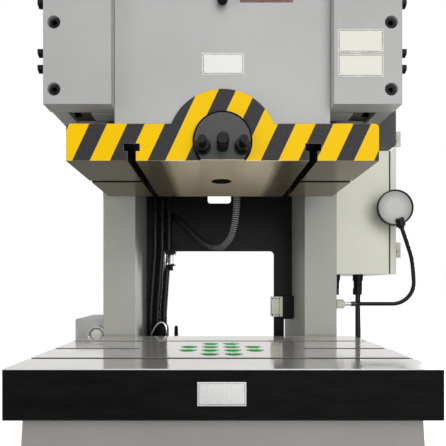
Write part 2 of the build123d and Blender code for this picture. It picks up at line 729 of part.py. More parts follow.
def foot():
    """A floor flange with gussets, welded to the outside of the right-hand frame."""
    outer = FRAME_HALF + FOOT_WIDTH
    flange = block((FRAME_HALF, outer), (FOOT_FRONT, FRAME_REAR), (0, FOOT_THICK))
    for y in (ANCHOR_FRONT_Y, ANCHOR_REAR_Y):
        flange -= rod("Z", ANCHOR_RADIUS, (-CUT, FOOT_THICK + CUT), (ANCHOR_X, y))
        for step in (-GUSSET_OFFSET, GUSSET_OFFSET):
            web = make_face(
                Polyline(
                    (FRAME_HALF, FOOT_THICK),
                    (outer, FOOT_THICK),
                    (FRAME_HALF, FOOT_THICK + GUSSET_HEIGHT),
                    close=True,
                )
            )
            middle = y + step
            flange += front_outline(web, (middle - GUSSET_THICK / 2, middle + GUSSET_THICK / 2))
    return flange


def rear_guard():
    """The sheet between the columns behind the die space, open below for parts and scrap."""
    span = (-COLUMN_INNER, COLUMN_INNER)
    sheet = centred_rectangle(span, (BED_TOP, REAR_BEAM_BOTTOM))
    opening_half = COLUMN_INNER - GUARD_LEG_WIDTH
    opening_top = TABLE_HEIGHT + GUARD_OPENING_RISE
    sheet -= centred_rectangle(
        (-opening_half, opening_half), (BED_TOP - GUARD_OPENING_RISE, opening_top), GUARD_OPENING_RADIUS
    )
    sheet -= centred_rectangle(
        (COLUMN_INNER - GUARD_NOTCH_WIDTH, COLUMN_INNER + CUT),
        (BED_TOP - CUT, TABLE_HEIGHT + GUARD_NOTCH_RISE),
    )
    slot_bottom = TABLE_HEIGHT + GUARD_SLOT_RISE
    sheet -= centred_rectangle(
        (-GUARD_SLOT_WIDTH / 2, GUARD_SLOT_WIDTH / 2),
        (slot_bottom, slot_bottom + GUARD_SLOT_HEIGHT),
        GUARD_SLOT_RADIUS,
    )
    return front_outline(sheet, (GUARD_SHEET_Y, GUARD_SHEET_Y + GUARD_SHEET_THICK)) + conduit_gland()


def crank_bore(y):
    """The space of a crank bush in a plate."""
    return rod("Y", JOURNAL_RADIUS + BUSH_WALL, (y[0] - CUT, y[1] + CUT), (0, CRANK_Z))


def bulkhead_spans():
    """The three plates that carry the crank bushes, front to back."""
    return (
        (-BULKHEAD_INNER - BULKHEAD_THICK, -BULKHEAD_INNER),
        (BULKHEAD_INNER, BULKHEAD_INNER + BULKHEAD_THICK),
        (FRAME_REAR - REAR_PLATE_THICK, FRAME_REAR),
    )


def bulkhead(y):
    """A plate across the crown that carries a crank bush."""
    plate = block((-COLUMN_INNER, COLUMN_INNER), y, (GUIDE_TOP, CROWN_TOP - CROWN_TOP_THICK))
    return plate - crank_bore(y)


def crown_rear_plate():
    """The plate that closes the crown behind and carries the rear crank bush."""
    y = bulkhead_spans()[2]
    plate = block((-COLUMN_INNER, COLUMN_INNER), y, (REAR_BEAM_BOTTOM, CROWN_TOP))
    return plate - crank_bore(y)


def crank_bushes():
    """Three plain bearing bushes."""
    bushes = []
    for y in bulkhead_spans():
        shell = rod("Y", JOURNAL_RADIUS + BUSH_WALL, y, (0, CRANK_Z))
        hole = rod("Y", JOURNAL_RADIUS + RUNNING_GAP, (y[0] - CUT, y[1] + CUT), (0, CRANK_Z))
        bushes.append(shell - hole)
    return bushes


def crown_front_plate():
    """The front cover of the crown, with a hole for the crank's indicator stub."""
    plate = block(
        (-FRAME_HALF, FRAME_HALF), (-GIB_PLATE_FRONT, JAW_FRONT), (GUIDE_TOP, CROWN_TOP)
    )
    hole = rod("Y", DIAL_BORE_RADIUS, (-GIB_PLATE_FRONT - CUT, JAW_FRONT + CUT), (0, CRANK_Z))
    return plate - hole


def crown_top_plate():
    """The plate that closes the crown above, with a raised pad for the motor."""
    plate = block(
        (-COLUMN_INNER, COLUMN_INNER),
        (JAW_FRONT, FRAME_REAR - REAR_PLATE_THICK),
        (CROWN_TOP - CROWN_TOP_THICK, CROWN_TOP),
    )
    pad_z = (CROWN_TOP, CROWN_TOP + MOTOR_PAD_THICK)
    return plate + block((-MOTOR_PAD_HALF, MOTOR_PAD_HALF), (MOTOR_FRONT, MOTOR_BACK), pad_z)


def angle_dial():
    """The ring on the crown that the crank pointer turns over."""
    y = (-GIB_PLATE_FRONT - DIAL_THICK, -GIB_PLATE_FRONT)
    ring = rod("Y", DIAL_RADIUS, y, (0, CRANK_Z))
    return ring - rod("Y", DIAL_BORE_RADIUS, (y[0] - CUT, y[1] + CUT), (0, CRANK_Z))


def build_frame():
    """Writes the welded frame's plates and the crank bushes."""
    right, left = two_sides(side_frame())
    save("side_frame_right", right)
    save("side_frame_left", left)
    rear = (FRAME_REAR - REAR_PLATE_THICK, FRAME_REAR)
    bed_rear_plate = block((-COLUMN_INNER, COLUMN_INNER), rear, (0, BED_TOP))
    save("bed_plates", bed_front_plate() + bed_plate(), bed_rear_plate)
    save("rear_guard", rear_guard())
    front, middle, _ = bulkhead_spans()
    save("crown_plates", bulkhead(front), bulkhead(middle), crown_rear_plate(), crown_top_plate())
    save("crown_front_plate", crown_front_plate())
    save("crank_bushes", *crank_bushes())
    save("angle_dial", angle_dial())


# Table


def pin_places():
    """Cushion pin places: a square grid without its corners."""
    first = -(PIN_GRID - 1) * PIN_PITCH / 2
    last = PIN_GRID - 1
    return [
        (first + i * PIN_PITCH, first + j * PIN_PITCH)
        for i in range(PIN_GRID)
        for j in range(PIN_GRID)
        if not (i in (0, last) and j in (0, last))
    ]


def bolster():
    """The table plate: three T-slots from side to side, the middle one stopped short of the pin holes."""
    half = BOLSTER_WIDTH / 2
    plate = block(
        (-half, half), (-BOLSTER_DEPTH / 2, BOLSTER_DEPTH / 2), (BED_TOP, TABLE_HEIGHT)
    )
    plate = chamfer(plate.edges(), EDGE_CHAMFER)
    for centre in (-TABLE_SLOT_PITCH, TABLE_SLOT_PITCH):
        plate -= t_slot("X", (-half - CUT, half + CUT), centre, TABLE_HEIGHT, -1)
    for span in ((-half - CUT, -TABLE_MIDDLE_SLOT_INNER), (TABLE_MIDDLE_SLOT_INNER, half + CUT)):
        plate -= t_slot("X", span, 0, TABLE_HEIGHT, -1)
    for place in pin_places():
        plate -= rod("Z", PIN_HOLE_RADIUS, (BED_TOP - CUT, TABLE_HEIGHT + CUT), place)
    return plate


def pin_plugs():
    """Soft cup-shaped plugs that close the cushion pin holes."""
    top = TABLE_HEIGHT - PLUG_SINK
    plugs = []
    for place in pin_places():
        cup = rod("Z", PIN_HOLE_RADIUS, (top - PLUG_THICK, top), place)
        plugs.append(cup - rod("Z", PLUG_RECESS_RADIUS, (top - PLUG_RECESS_DEPTH, top + CUT), place))
    return plugs


def build_table():
    """Writes the table plate and its hole plugs."""
    save("bolster", bolster())
    save("pin_hole_plugs", *pin_plugs())


# Slide guides


def gib_plate():
    """The right-hand front guide plate, counterbored for its screws."""
    plate = block(
        (GIB_PLATE_INNER, FRAME_HALF + GIB_PLATE_OVERHANG),
        (-GIB_PLATE_FRONT, JAW_FRONT),
        (JAW_BOTTOM, GUIDE_TOP),
    )
    bore_depth = GIB_SCREW_HEAD_HEIGHT + GIB_SCREW_SINK
    for z in gib_screw_heights():
        plate -= rod(
            "Y",
            GIB_SCREW_HEAD_RADIUS + COUNTERBORE_GAP,
            (-GIB_PLATE_FRONT - CUT, -GIB_PLATE_FRONT + bore_depth),
            (GIB_SCREW_X, z),
        )
        plate -= rod("Y", GIB_SCREW_RADIUS, (-GIB_PLATE_FRONT, JAW_FRONT + CUT), (GIB_SCREW_X, z))
    return plate


def gib_screw(z):
    """A socket head screw of the right-hand guide plate."""
    seat = -GIB_PLATE_FRONT + GIB_SCREW_HEAD_HEIGHT + GIB_SCREW_SINK
    top = seat - GIB_SCREW_HEAD_HEIGHT
    at = (GIB_SCREW_X, z)
    screw = rod("Y", GIB_SCREW_HEAD_RADIUS, (top, seat), at)
    screw += rod("Y", GIB_SCREW_RADIUS, (seat, JAW_FRONT + GIB_SCREW_GRIP), at)
    return screw - hex_bar("Y", GIB_SCREW_HEX_FLATS, (top - CUT, top + GIB_SCREW_HEX_DEPTH), at)


def adjuster(z):
    """A hexagon adjusting screw with its lock nut, through the right-hand side frame."""
    tip = WING_OUTER + GIB_CLEARANCE + GIB_SIDE_WIDTH
    end = FRAME_HALF + ADJUSTER_REACH
    nut_base = FRAME_HALF + LOCK_STRIP_THICK
    at = (ADJUSTER_Y, z)
    screw = rod("X", ADJUSTER_RADIUS, (tip, end), at)
    screw += hex_bar("X", ADJUSTER_HEAD_FLATS, (end - ADJUSTER_HEAD_THICK, end), at)
    return screw + hex_bar("X", ADJUSTER_HEAD_FLATS, (nut_base, nut_base + ADJUSTER_NUT_THICK), at)


def lock_strip(i):
    """The strip under one pair of lock nuts on the right-hand side frame."""
    middle = JAW_BOTTOM + ADJUSTER_FIRST + i * ADJUSTER_PITCH
    half = ADJUSTER_PAIR_PITCH / 2 + LOCK_STRIP_OVERHANG
    strip = block(
        (FRAME_HALF, FRAME_HALF + LOCK_STRIP_THICK),
        (ADJUSTER_Y - LOCK_STRIP_WIDTH / 2, ADJUSTER_Y + LOCK_STRIP_WIDTH / 2),
        (middle - half, middle + half),
    )
    for z in (middle - ADJUSTER_PAIR_PITCH / 2, middle + ADJUSTER_PAIR_PITCH / 2):
        through = (FRAME_HALF - CUT, FRAME_HALF + LOCK_STRIP_THICK + CUT)
        strip -= rod("X", ADJUSTER_RADIUS, through, (ADJUSTER_Y, z))
    return strip


def build_guides():
    """Writes the guide plates, liners, side bars and their screws."""
    right, left = two_sides(gib_plate())
    save("gib_plate_right", right)
    save("gib_plate_left", left)
    guide = (JAW_BOTTOM + GIB_END_GAP, GUIDE_TOP - GIB_END_GAP)
    front = block((GIB_PLATE_INNER, WING_OUTER), (JAW_FRONT, JAW_FRONT + GIB_LINER_THICK), guide)
    rear = block((GIB_REAR_INNER, REBATE_OUTER), (REBATE_BACK - GIB_REAR_THICK, REBATE_BACK), guide)
    side_start = WING_OUTER + GIB_CLEARANCE
    side = block(
        (side_start, side_start + GIB_SIDE_WIDTH), (WING_FRONT, WING_BACK + GIB_CLEARANCE), guide
    )
    save("gib_liners", *two_sides(front), *two_sides(rear), *two_sides(side))
    screws = [s for z in gib_screw_heights() for s in two_sides(gib_screw(z))]
    save("gib_plate_screws", *screws)
    adjusters = [s for z in adjuster_heights() for s in two_sides(adjuster(z))]
    strips = [s for i in range(ADJUSTER_COUNT) for s in two_sides(lock_strip(i))]
    save("gib_adjusters", *adjusters, *strips)


# Slide with its shank clamp


def slide():
    """The slide: a hollow body between the guides on a wide T-slotted flange with a round hump in front."""
    half = FLANGE_WIDTH / 2
    flange_sketch = centred_rectangle((-half, half), (SLIDE_BOTTOM, FLANGE_TOP))
    upper = flange_sketch.vertices().group_by(Axis.Y)[-1]
    flange = front_outline(fillet(upper, FLANGE_CORNER), (FLANGE_FRONT, FLANGE_DEPTH / 2))
    body_half = SLIDE_BODY_WIDTH / 2
    body = block((-body_half, body_half), (SLIDE_BODY_FRONT, SLIDE_BODY_BACK), (SLIDE_BOTTOM, SLIDE_TOP))
    hump = front_outline(
        Pos(0, SLIDE_BOTTOM + HUMP_CENTRE_RISE) * Circle(HUMP_RADIUS), (FLANGE_FRONT, SLIDE_BODY_FRONT)
    )
    hump &= block((-half, half), (FLANGE_FRONT, SLIDE_BODY_FRONT), (SLIDE_BOTTOM, SLIDE_TOP))
    ram = flange + body + hump
    for wing in two_sides(
        block((body_half, WING_OUTER), (WING_FRONT, WING_BACK), (JAW_BOTTOM, SLIDE_TOP))
    ):
        ram += wing
    ram -= block(
        (-CAVITY_HALF_WIDTH, CAVITY_HALF_WIDTH),
        (-CAVITY_HALF_DEPTH, CAVITY_HALF_DEPTH),
        (CAVITY_FLOOR, SLIDE_TOP + CUT),
    )
    for centre in (-SLIDE_SLOT_OFFSET, SLIDE_SLOT_OFFSET):
        ram -= t_slot("Y", (FLANGE_FRONT - CUT, FLANGE_DEPTH / 2 + CUT), centre, SLIDE_BOTTOM, 1)
    for span in ((-half - CUT, -SLIDE_SLOT_OFFSET), (SLIDE_SLOT_OFFSET, half + CUT)):
        ram -= t_slot("X", span, 0, SLIDE_BOTTOM, 1)
    ram -= rod("Y", CLAMP_RADIUS, (FLANGE_FRONT - CUT, 0), (0, CLAMP_Z))
    ram -= rod("Z", SHANK_RADIUS, (SLIDE_BOTTOM - CUT, SLIDE_BOTTOM + SHANK_DEPTH), (0, 0))
    for x in (-CLAMP_STUD_OFFSET, CLAMP_STUD_OFFSET):
        ram -= rod("Y", CLAMP_STUD_RADIUS, (-CUT, CLAMP_STUD_DEPTH), (x, SLIDE_BOTTOM + CLAMP_STUD_RISE))
    spindle = (SLIDE_BODY_FRONT - CUT, SLIDE_BODY_FRONT + ADJUST_SPINDLE_DEPTH)
    return ram - rod("Y", ADJUST_SPINDLE_RADIUS + RUNNING_GAP, spindle, (0, ADJUST_LEVER_Z))


def conduit_boss():
    """The boss on the slide's back that the conduit hangs from."""
    top = conduit_points()[0]
    z = (top[2] + FITTING_LENGTH, top[2] + FITTING_LENGTH + BOSS_HEIGHT)
    x = (top[0] - BOSS_WIDTH / 2, top[0] + BOSS_WIDTH / 2)
    boss = block(x, (SLIDE_BODY_BACK, top[1] + BOSS_WIDTH / 2), z)
    return boss + rod("Z", FITTING_RADIUS, (top[2], z[1]), (top[0], top[1]))


def shank_clamp():
    """The round block that grips the tool shank from the front, flush with the slide's underside."""
    back = -CLAMP_CLEARANCE
    clamp = rod("Y", CLAMP_RADIUS - CLAMP_CLEARANCE, (CLAMP_FRONT, back), (0, CLAMP_Z))
    half = CLAMP_RADIUS + CUT
    clamp &= block((-half, half), (CLAMP_FRONT, back), (SLIDE_BOTTOM, CLAMP_Z + half))
    clamp -= rod("Z", SHANK_RADIUS, (SLIDE_BOTTOM - CUT, SLIDE_BOTTOM + SHANK_DEPTH), (0, 0))
    for x in (-CLAMP_STUD_OFFSET, CLAMP_STUD_OFFSET):
        clamp -= rod("Y", CLAMP_STUD_RADIUS, (CLAMP_FRONT - CUT, CUT), (x, SLIDE_BOTTOM + CLAMP_STUD_RISE))
    screw_at = (0, SLIDE_BOTTOM + CLAMP_SCREW_RISE)
    return clamp - rod("Y", CLAMP_SCREW_RADIUS, (CLAMP_FRONT - CUT, 0), screw_at)


def clamp_stud(x):
    """A stud with washer and nut that holds the shank clamp."""
    at = (x, SLIDE_BOTTOM + CLAMP_STUD_RISE)
    washer_front = CLAMP_FRONT - CLAMP_WASHER_THICK
    stud = rod("Y", CLAMP_STUD_RADIUS, (CLAMP_FRONT - CLAMP_STUD_REACH, CLAMP_STUD_DEPTH), at)
    stud += rod("Y", CLAMP_WASHER_RADIUS, (washer_front, CLAMP_FRONT), at)
    return stud + hex_bar("Y", CLAMP_NUT_FLATS, (washer_front - CLAMP_NUT_THICK, washer_front), at)


def clamp_screw():
    """The pressing screw in the middle of the shank clamp."""
    tip = CLAMP_FRONT - CLAMP_SCREW_REACH
    end = -math.sqrt(SHANK_RADIUS**2 - CLAMP_SCREW_RADIUS**2) - SHANK_RADIUS
    screw = rod("Y", CLAMP_SCREW_RADIUS, (tip, end), (0, SLIDE_BOTTOM + CLAMP_SCREW_RISE))
    return chamfer(screw.edges(), CLAMP_SCREW_CHAMFER)


def ball_cup():
    """The hardened cup on the cavity floor that the connecting rod's ball presses on."""
    cup = rod("Z", CUP_RADIUS, (CAVITY_FLOOR, CAVITY_FLOOR + CUP_HEIGHT), (0, 0))
    return cup - Pos(0, 0, BALL_Z - CUP_DROP) * Sphere(BALL_RADIUS)


def adjust_lever():
    """A black locking lever that hangs from a hub on the slide's front."""
    hub_front = SLIDE_BODY_FRONT - ADJUST_LEVER_HUB_LENGTH
    at = (0, ADJUST_LEVER_Z)
    hub_back = SLIDE_BODY_FRONT - GIB_CLEARANCE
    hub = rod("Y", ADJUST_LEVER_HUB_RADIUS, (hub_front, hub_back), at)
    spindle_end = SLIDE_BODY_FRONT + ADJUST_SPINDLE_DEPTH - GIB_CLEARANCE
    spindle = rod("Y", ADJUST_SPINDLE_RADIUS, (hub_back, spindle_end), at)
    y = (hub_front + SLIDE_BODY_FRONT) / 2
    grip_end = ADJUST_LEVER_Z - ADJUST_LEVER_LENGTH
    grip_top = grip_end + ADJUST_LEVER_GRIP_LENGTH
    stem = rod("Z", ADJUST_LEVER_STEM_RADIUS, (grip_top, ADJUST_LEVER_Z), (0, y))
    grip = rod("Z", ADJUST_LEVER_GRIP_RADIUS, (grip_end + ADJUST_LEVER_GRIP_RADIUS, grip_top), (0, y))
    tip = Pos(0, y, grip_end + ADJUST_LEVER_GRIP_RADIUS) * Sphere(ADJUST_LEVER_GRIP_RADIUS)
    return hub + spindle + stem + grip + tip


def build_slide():
    """Writes the slide, its conduit boss, clamp parts, ball cup and adjuster lever."""
    save("slide", slide())
    save("conduit_boss", conduit_boss())
    save("shank_clamp", shank_clamp())
    studs = [clamp_stud(x) for x in (-CLAMP_STUD_OFFSET, CLAMP_STUD_OFFSET)]
    save("clamp_screws", clamp_screw(), *studs)
    save("ball_cup", ball_cup())
    save("adjust_lever", adjust_lever())


# Crank drive


def crankshaft():
    """The single-throw crankshaft, from the pointer stub in front to the flywheel seat behind."""
    front, middle, rear = bulkhead_spans()
    at = (0, CRANK_Z)
    stub_front = -GIB_PLATE_FRONT - DIAL_THICK
    shaft = rod("Y", CRANK_STUB_RADIUS, (stub_front, front[0]), at)
    shaft += rod("Y", JOURNAL_RADIUS, (front[0], -WEB_OUTER), at)
    shaft += rod("Y", CRANK_PIN_RADIUS, (-WEB_INNER, WEB_INNER), (0, CRANK_PIN_Z))
    web = hull_of_circles(WEB_RADIUS, CRANK_Z, WEB_RADIUS, CRANK_PIN_Z)
    shaft += front_outline(web, (-WEB_OUTER, -WEB_INNER))
    shaft += front_outline(web, (WEB_INNER, WEB_OUTER))
    shaft += rod("Y", JOURNAL_RADIUS, (WEB_OUTER, middle[1]), at)
    shaft += rod("Y", LINE_SHAFT_RADIUS, (middle[1], rear[0]), at)
    shaft += rod("Y", JOURNAL_RADIUS, rear, at)
    shaft += rod("Y", LINE_SHAFT_RADIUS, (FRAME_REAR, FLYWHEEL_FRONT - FACE_GAP), at)
    return shaft + rod("Y", FLYWHEEL_SEAT_RADIUS, (FRAME_REAR, CLUTCH_BACK), at)


def angle_pointer():
    """The pointer on the crank's front stub, straight up at top dead centre."""
    back = -GIB_PLATE_FRONT - DIAL_THICK
    y = (back - POINTER_THICK, back)
    hub = rod("Y", POINTER_HUB_RADIUS, y, (0, CRANK_Z))
    needle = make_face(
        Polyline(
            (-POINTER_HUB_RADIUS / 2, CRANK_Z),
            (POINTER_HUB_RADIUS / 2, CRANK_Z),
            (POINTER_TIP_WIDTH / 2, CRANK_Z + POINTER_LENGTH),
            (-POINTER_TIP_WIDTH / 2, CRANK_Z + POINTER_LENGTH),
            close=True,
        )
    )
    return hub + front_outline(needle, y)


def conrod_bolt(x):
    """A bolt through the rod cap into the connecting rod."""
    seat = CRANK_PIN_Z + CONROD_BOLT_SEAT_RISE
    bolt = rod("Z", CONROD_BOLT_RADIUS, (seat - CONROD_BOLT_LENGTH, seat), (x, 0))
    return bolt + hex_bar("Z", CONROD_BOLT_HEAD_FLATS, (seat, seat + CONROD_BOLT_HEAD_THICK), (x, 0))


def big_end(low, high):
    """The bored big end between two heights, with holes for its bolts and flats under their heads."""
    half = CONROD_WIDTH / 2
    ring = rod("Y", BIG_END_RADIUS, (-half, half), (0, CRANK_PIN_Z))
    ring &= block((-BIG_END_RADIUS, BIG_END_RADIUS), (-half, half), (low, high))
    seat = CRANK_PIN_Z + CONROD_BOLT_SEAT_RISE
    for x in (-CONROD_BOLT_OFFSET, CONROD_BOLT_OFFSET):
        ring -= rod("Z", CONROD_BOLT_RADIUS, (seat - CONROD_BOLT_LENGTH, high + CUT), (x, 0))
        flat = (x - CONROD_BOLT_HEAD_FLATS, x + CONROD_BOLT_HEAD_FLATS)
        if high > seat:
            ring -= block(flat, (-half - CUT, half + CUT), (seat, high + CUT))
    return ring


def conrod():
    """The connecting rod: lower half of the big end, tapered shank and ball-ended screw."""
    half = SHANK_THICK / 2
    bottom = BALL_Z + BALL_NECK_LENGTH
    shank = make_face(
        Polyline(
            (-SHANK_WIDTH_TOP / 2, CRANK_PIN_Z),
            (SHANK_WIDTH_TOP / 2, CRANK_PIN_Z),
            (SHANK_WIDTH_BOTTOM / 2, bottom),
            (-SHANK_WIDTH_BOTTOM / 2, bottom),
            close=True,
        )
    )
    link = front_outline(shank, (-half, half))
    link += big_end(CRANK_PIN_Z - BIG_END_RADIUS, CRANK_PIN_Z)
    link += rod("Z", BALL_NECK_RADIUS, (BALL_Z, bottom), (0, 0))
    link += Pos(0, 0, BALL_Z) * Sphere(BALL_RADIUS)
    return link - pin_bore()


def pin_bore():
    """The running bore for the crank pin."""
    half = CONROD_WIDTH / 2 + CUT
    return rod("Y", CRANK_PIN_RADIUS + RUNNING_GAP, (-half, half), (0, CRANK_PIN_Z))


def balance_cylinder():
    """The right-hand counterbalance cylinder, closed above, with a rod hole below."""
    low = SLIDE_TOP + BALANCE_GAP
    high = low + BALANCE_LENGTH
    at = (BALANCE_OFFSET, 0)
    tube = rod("Z", BALANCE_RADIUS, (low, high), at)
    tube -= rod("Z", BALANCE_BORE_RADIUS, (low + BALANCE_CAP, high - BALANCE_CAP), at)
    return tube - rod("Z", BALANCE_ROD_RADIUS + RUNNING_GAP, (low - CUT, low + BALANCE_CAP + CUT), at)


def balance_rod():
    """The right-hand counterbalance rod and piston, which rise from the slide's top."""
    top = SLIDE_TOP + BALANCE_GAP + BALANCE_LENGTH - BALANCE_CAP - BALANCE_PISTON_THICK
    at = (BALANCE_OFFSET, 0)
    bar = rod("Z", BALANCE_ROD_RADIUS, (SLIDE_TOP, top), at)
    return bar + rod("Z", BALANCE_BORE_RADIUS - BALANCE_PISTON_GAP, (top - BALANCE_PISTON_THICK, top), at)


def balance_shelf():
    """The plate between the bulkheads that the right-hand cylinder hangs from."""
    low = SLIDE_TOP + BALANCE_GAP + BALANCE_LENGTH
    return block(
        (BALANCE_OFFSET - BALANCE_RADIUS, COLUMN_INNER),
        (-BULKHEAD_INNER, BULKHEAD_INNER),
        (low, low + BALANCE_SHELF_THICK),
    )


def build_crank_drive():
    """Writes the crankshaft, connecting rod and counterbalance."""
    save("crankshaft", crankshaft())
    save("angle_pointer", angle_pointer())
    save("conrod", conrod())
    bolts = [conrod_bolt(x) for x in (-CONROD_BOLT_OFFSET, CONROD_BOLT_OFFSET)]
    save("conrod_cap", big_end(CRANK_PIN_Z, CRANK_PIN_Z + BIG_END_RADIUS) - pin_bore(), *bolts)
    save("balance_cylinders", *two_sides(balance_cylinder() + balance_shelf()))
    save("balance_rods", *two_sides(balance_rod()))


# Flywheel, belt, motor and guard


def flywheel():
    """The flat-rimmed flywheel with a holed web, running free on the crankshaft."""
    at = (0, CRANK_Z)
    span = (FLYWHEEL_FRONT, FLYWHEEL_BACK)
    rim_inner = FLYWHEEL_RADIUS - FLYWHEEL_RIM
    wheel = rod("Y", FLYWHEEL_RADIUS, span, at)
    hub = rod("Y", FLYWHEEL_HUB_RADIUS, span, at)
    half_web = FLYWHEEL_WEB / 2
    wheel -= rod("Y", rim_inner, (FLYWHEEL_FRONT - CUT, FLYWHEEL_MID - half_web), at)
    wheel -= rod("Y", rim_inner, (FLYWHEEL_MID + half_web, FLYWHEEL_BACK + CUT), at)
    wheel += hub
    hole_circle = (rim_inner + FLYWHEEL_HUB_RADIUS) / 2
    for i in range(FLYWHEEL_HOLES):
        turn = 2 * math.pi * i / FLYWHEEL_HOLES
        place = (hole_circle * math.cos(turn), CRANK_Z + hole_circle * math.sin(turn))
        wheel -= rod("Y", FLYWHEEL_HOLE_RADIUS, span, place)
    bore = (FLYWHEEL_FRONT - CUT, FLYWHEEL_BACK + CUT)
    return wheel - rod("Y", FLYWHEEL_SEAT_RADIUS + RUNNING_GAP, bore, at)


def clutch():
    """The clutch drum on the crankshaft's rear end."""
    drum = rod("Y", CLUTCH_RADIUS, (CLUTCH_FRONT, CLUTCH_BACK), (0, CRANK_Z))
    return drum - rod("Y", FLYWHEEL_SEAT_RADIUS, (CLUTCH_FRONT - CUT, CLUTCH_BACK + CUT), (0, CRANK_Z))


def drive_belt():
    """The flat belt round flywheel and motor pulley."""
    wheel = FLYWHEEL_RADIUS + BELT_GAP
    pulley = PULLEY_RADIUS + BELT_GAP
    outer = hull_of_circles(wheel + BELT_THICK, CRANK_Z, pulley + BELT_THICK, MOTOR_Z)
    inner = hull_of_circles(wheel, CRANK_Z, pulley, MOTOR_Z)
    return front_outline(outer - inner, (FLYWHEEL_MID - BELT_WIDTH / 2, FLYWHEEL_MID + BELT_WIDTH / 2))


def motor():
    """The finned motor with feet, end shield and terminal box."""
    at = (0, MOTOR_Z)
    span = (MOTOR_FRONT, MOTOR_BACK)
    body = rod("Y", MOTOR_RADIUS, span, at)
    fin_span = (MOTOR_FRONT + MOTOR_SHIELD_THICK, MOTOR_BACK - MOTOR_SHIELD_THICK)
    fin_reach = MOTOR_RADIUS + MOTOR_FIN_REACH
    for i in range(MOTOR_FINS):
        fin = Pos(fin_reach / 2, 0) * Rectangle(fin_reach, MOTOR_FIN_THICK)
        turned = Pos(0, MOTOR_Z) * Rot(0, 0, 360 * i / MOTOR_FINS) * fin
        body += front_outline(turned, fin_span)
    floor = MOTOR_Z - MOTOR_AXIS_RISE
    for x in (-MOTOR_FOOT_SPREAD, MOTOR_FOOT_SPREAD):
        foot_x = (x - MOTOR_FOOT_WIDTH / 2, x + MOTOR_FOOT_WIDTH / 2)
        body += block(foot_x, fin_span, (floor, floor + MOTOR_FOOT_THICK))
        inner = (x - MOTOR_FOOT_THICK / 2, x + MOTOR_FOOT_THICK / 2)
        body += block(inner, fin_span, (floor, MOTOR_Z))
    half_box = MOTOR_BOX_SIZE / 2
    middle = (MOTOR_FRONT + MOTOR_BACK) / 2
    box_top = MOTOR_Z + fin_reach + MOTOR_BOX_HEIGHT
    body += block((-half_box, half_box), (middle - half_box, middle + half_box), (MOTOR_Z, box_top))
    shaft_space = (MOTOR_BACK - MOTOR_SHIELD_THICK, MOTOR_BACK + CUT)
    return body - rod("Y", MOTOR_SHAFT_RADIUS + RUNNING_GAP, shaft_space, at)


def fan_cover():
    """The cup over the motor's cooling fan, slotted in rings."""
    at = (0, MOTOR_Z)
    radius = MOTOR_RADIUS
    front = MOTOR_FRONT - FAN_COVER_LENGTH
    cup = rod("Y", radius, (front, MOTOR_FRONT), at)
    cup -= rod("Y", radius - FAN_COVER_WALL, (front + FAN_COVER_WALL, MOTOR_FRONT + CUT), at)
    for share in FAN_SLOT_RADII_SHARES:
        for turn in (0, 90, 180, 270):
            arc = Pos(0, MOTOR_Z) * Rot(0, 0, turn) * SlotArc(
                CenterArc((0, 0), share * radius, 10, 70), FAN_SLOT_WIDTH
            )
            cup -= front_outline(arc, (front - CUT, front + FAN_COVER_WALL + CUT))
    return cup


def motor_pulley():
    """The motor's flat pulley, fixed on its shaft."""
    span = (FLYWHEEL_MID - PULLEY_WIDTH / 2, FLYWHEEL_MID + PULLEY_WIDTH / 2)
    wheel = rod("Y", PULLEY_RADIUS, span, (0, MOTOR_Z))
    return wheel - rod("Y", MOTOR_SHAFT_RADIUS, (span[0] - CUT, span[1] + CUT), (0, MOTOR_Z))


def flywheel_guard():
    """The sheet case over flywheel, belt and pulley, vented behind and holed for both shafts in front."""
    wheel = FLYWHEEL_RADIUS + BELT_THICK + GUARD_GAP
    pulley = PULLEY_RADIUS + BELT_THICK + GUARD_PULLEY_GAP
    front = FRAME_REAR + GUARD_STANDOFF
    back = GUARD_BACK
    case = front_outline(hull_of_circles(wheel, CRANK_Z, pulley, MOTOR_Z), (FRAME_REAR, back))
    space = hull_of_circles(wheel - GUARD_WALL, CRANK_Z, pulley - GUARD_WALL, MOTOR_Z)
    case -= front_outline(space, (front + GUARD_WALL, back - GUARD_WALL))
    wall = (FRAME_REAR - CUT, front + GUARD_WALL + CUT)
    case -= rod("Y", FLYWHEEL_HUB_RADIUS, wall, (0, CRANK_Z))
    case -= rod("Y", MOTOR_SHAFT_RADIUS + GUARD_SHAFT_GAP, wall, (0, MOTOR_Z))
    first = CRANK_Z - (GUARD_VENTS - 1) * GUARD_VENT_PITCH / 2
    for i in range(GUARD_VENTS):
        vent = Pos(0, first + i * GUARD_VENT_PITCH) * SlotOverall(GUARD_VENT_LENGTH, GUARD_VENT_WIDTH)
        case -= front_outline(vent, (back - GUARD_WALL - CUT, back + CUT))
    return case


def build_flywheel_drive():
    """Writes the flywheel, clutch, belt, motor and their guard."""
    save("flywheel", flywheel())
    save("clutch", clutch())
    save("drive_belt", drive_belt())
    save("motor", motor())
    save("motor_fan_cover", fan_cover())
    shaft_end = FLYWHEEL_MID + PULLEY_WIDTH / 2
    shaft = rod("Y", MOTOR_SHAFT_RADIUS, (MOTOR_BACK - MOTOR_SHIELD_THICK, shaft_end), (0, MOTOR_Z))
    save("motor_pulley", motor_pulley(), shaft)
    save("flywheel_guard", flywheel_guard())


# Electrical cabinet


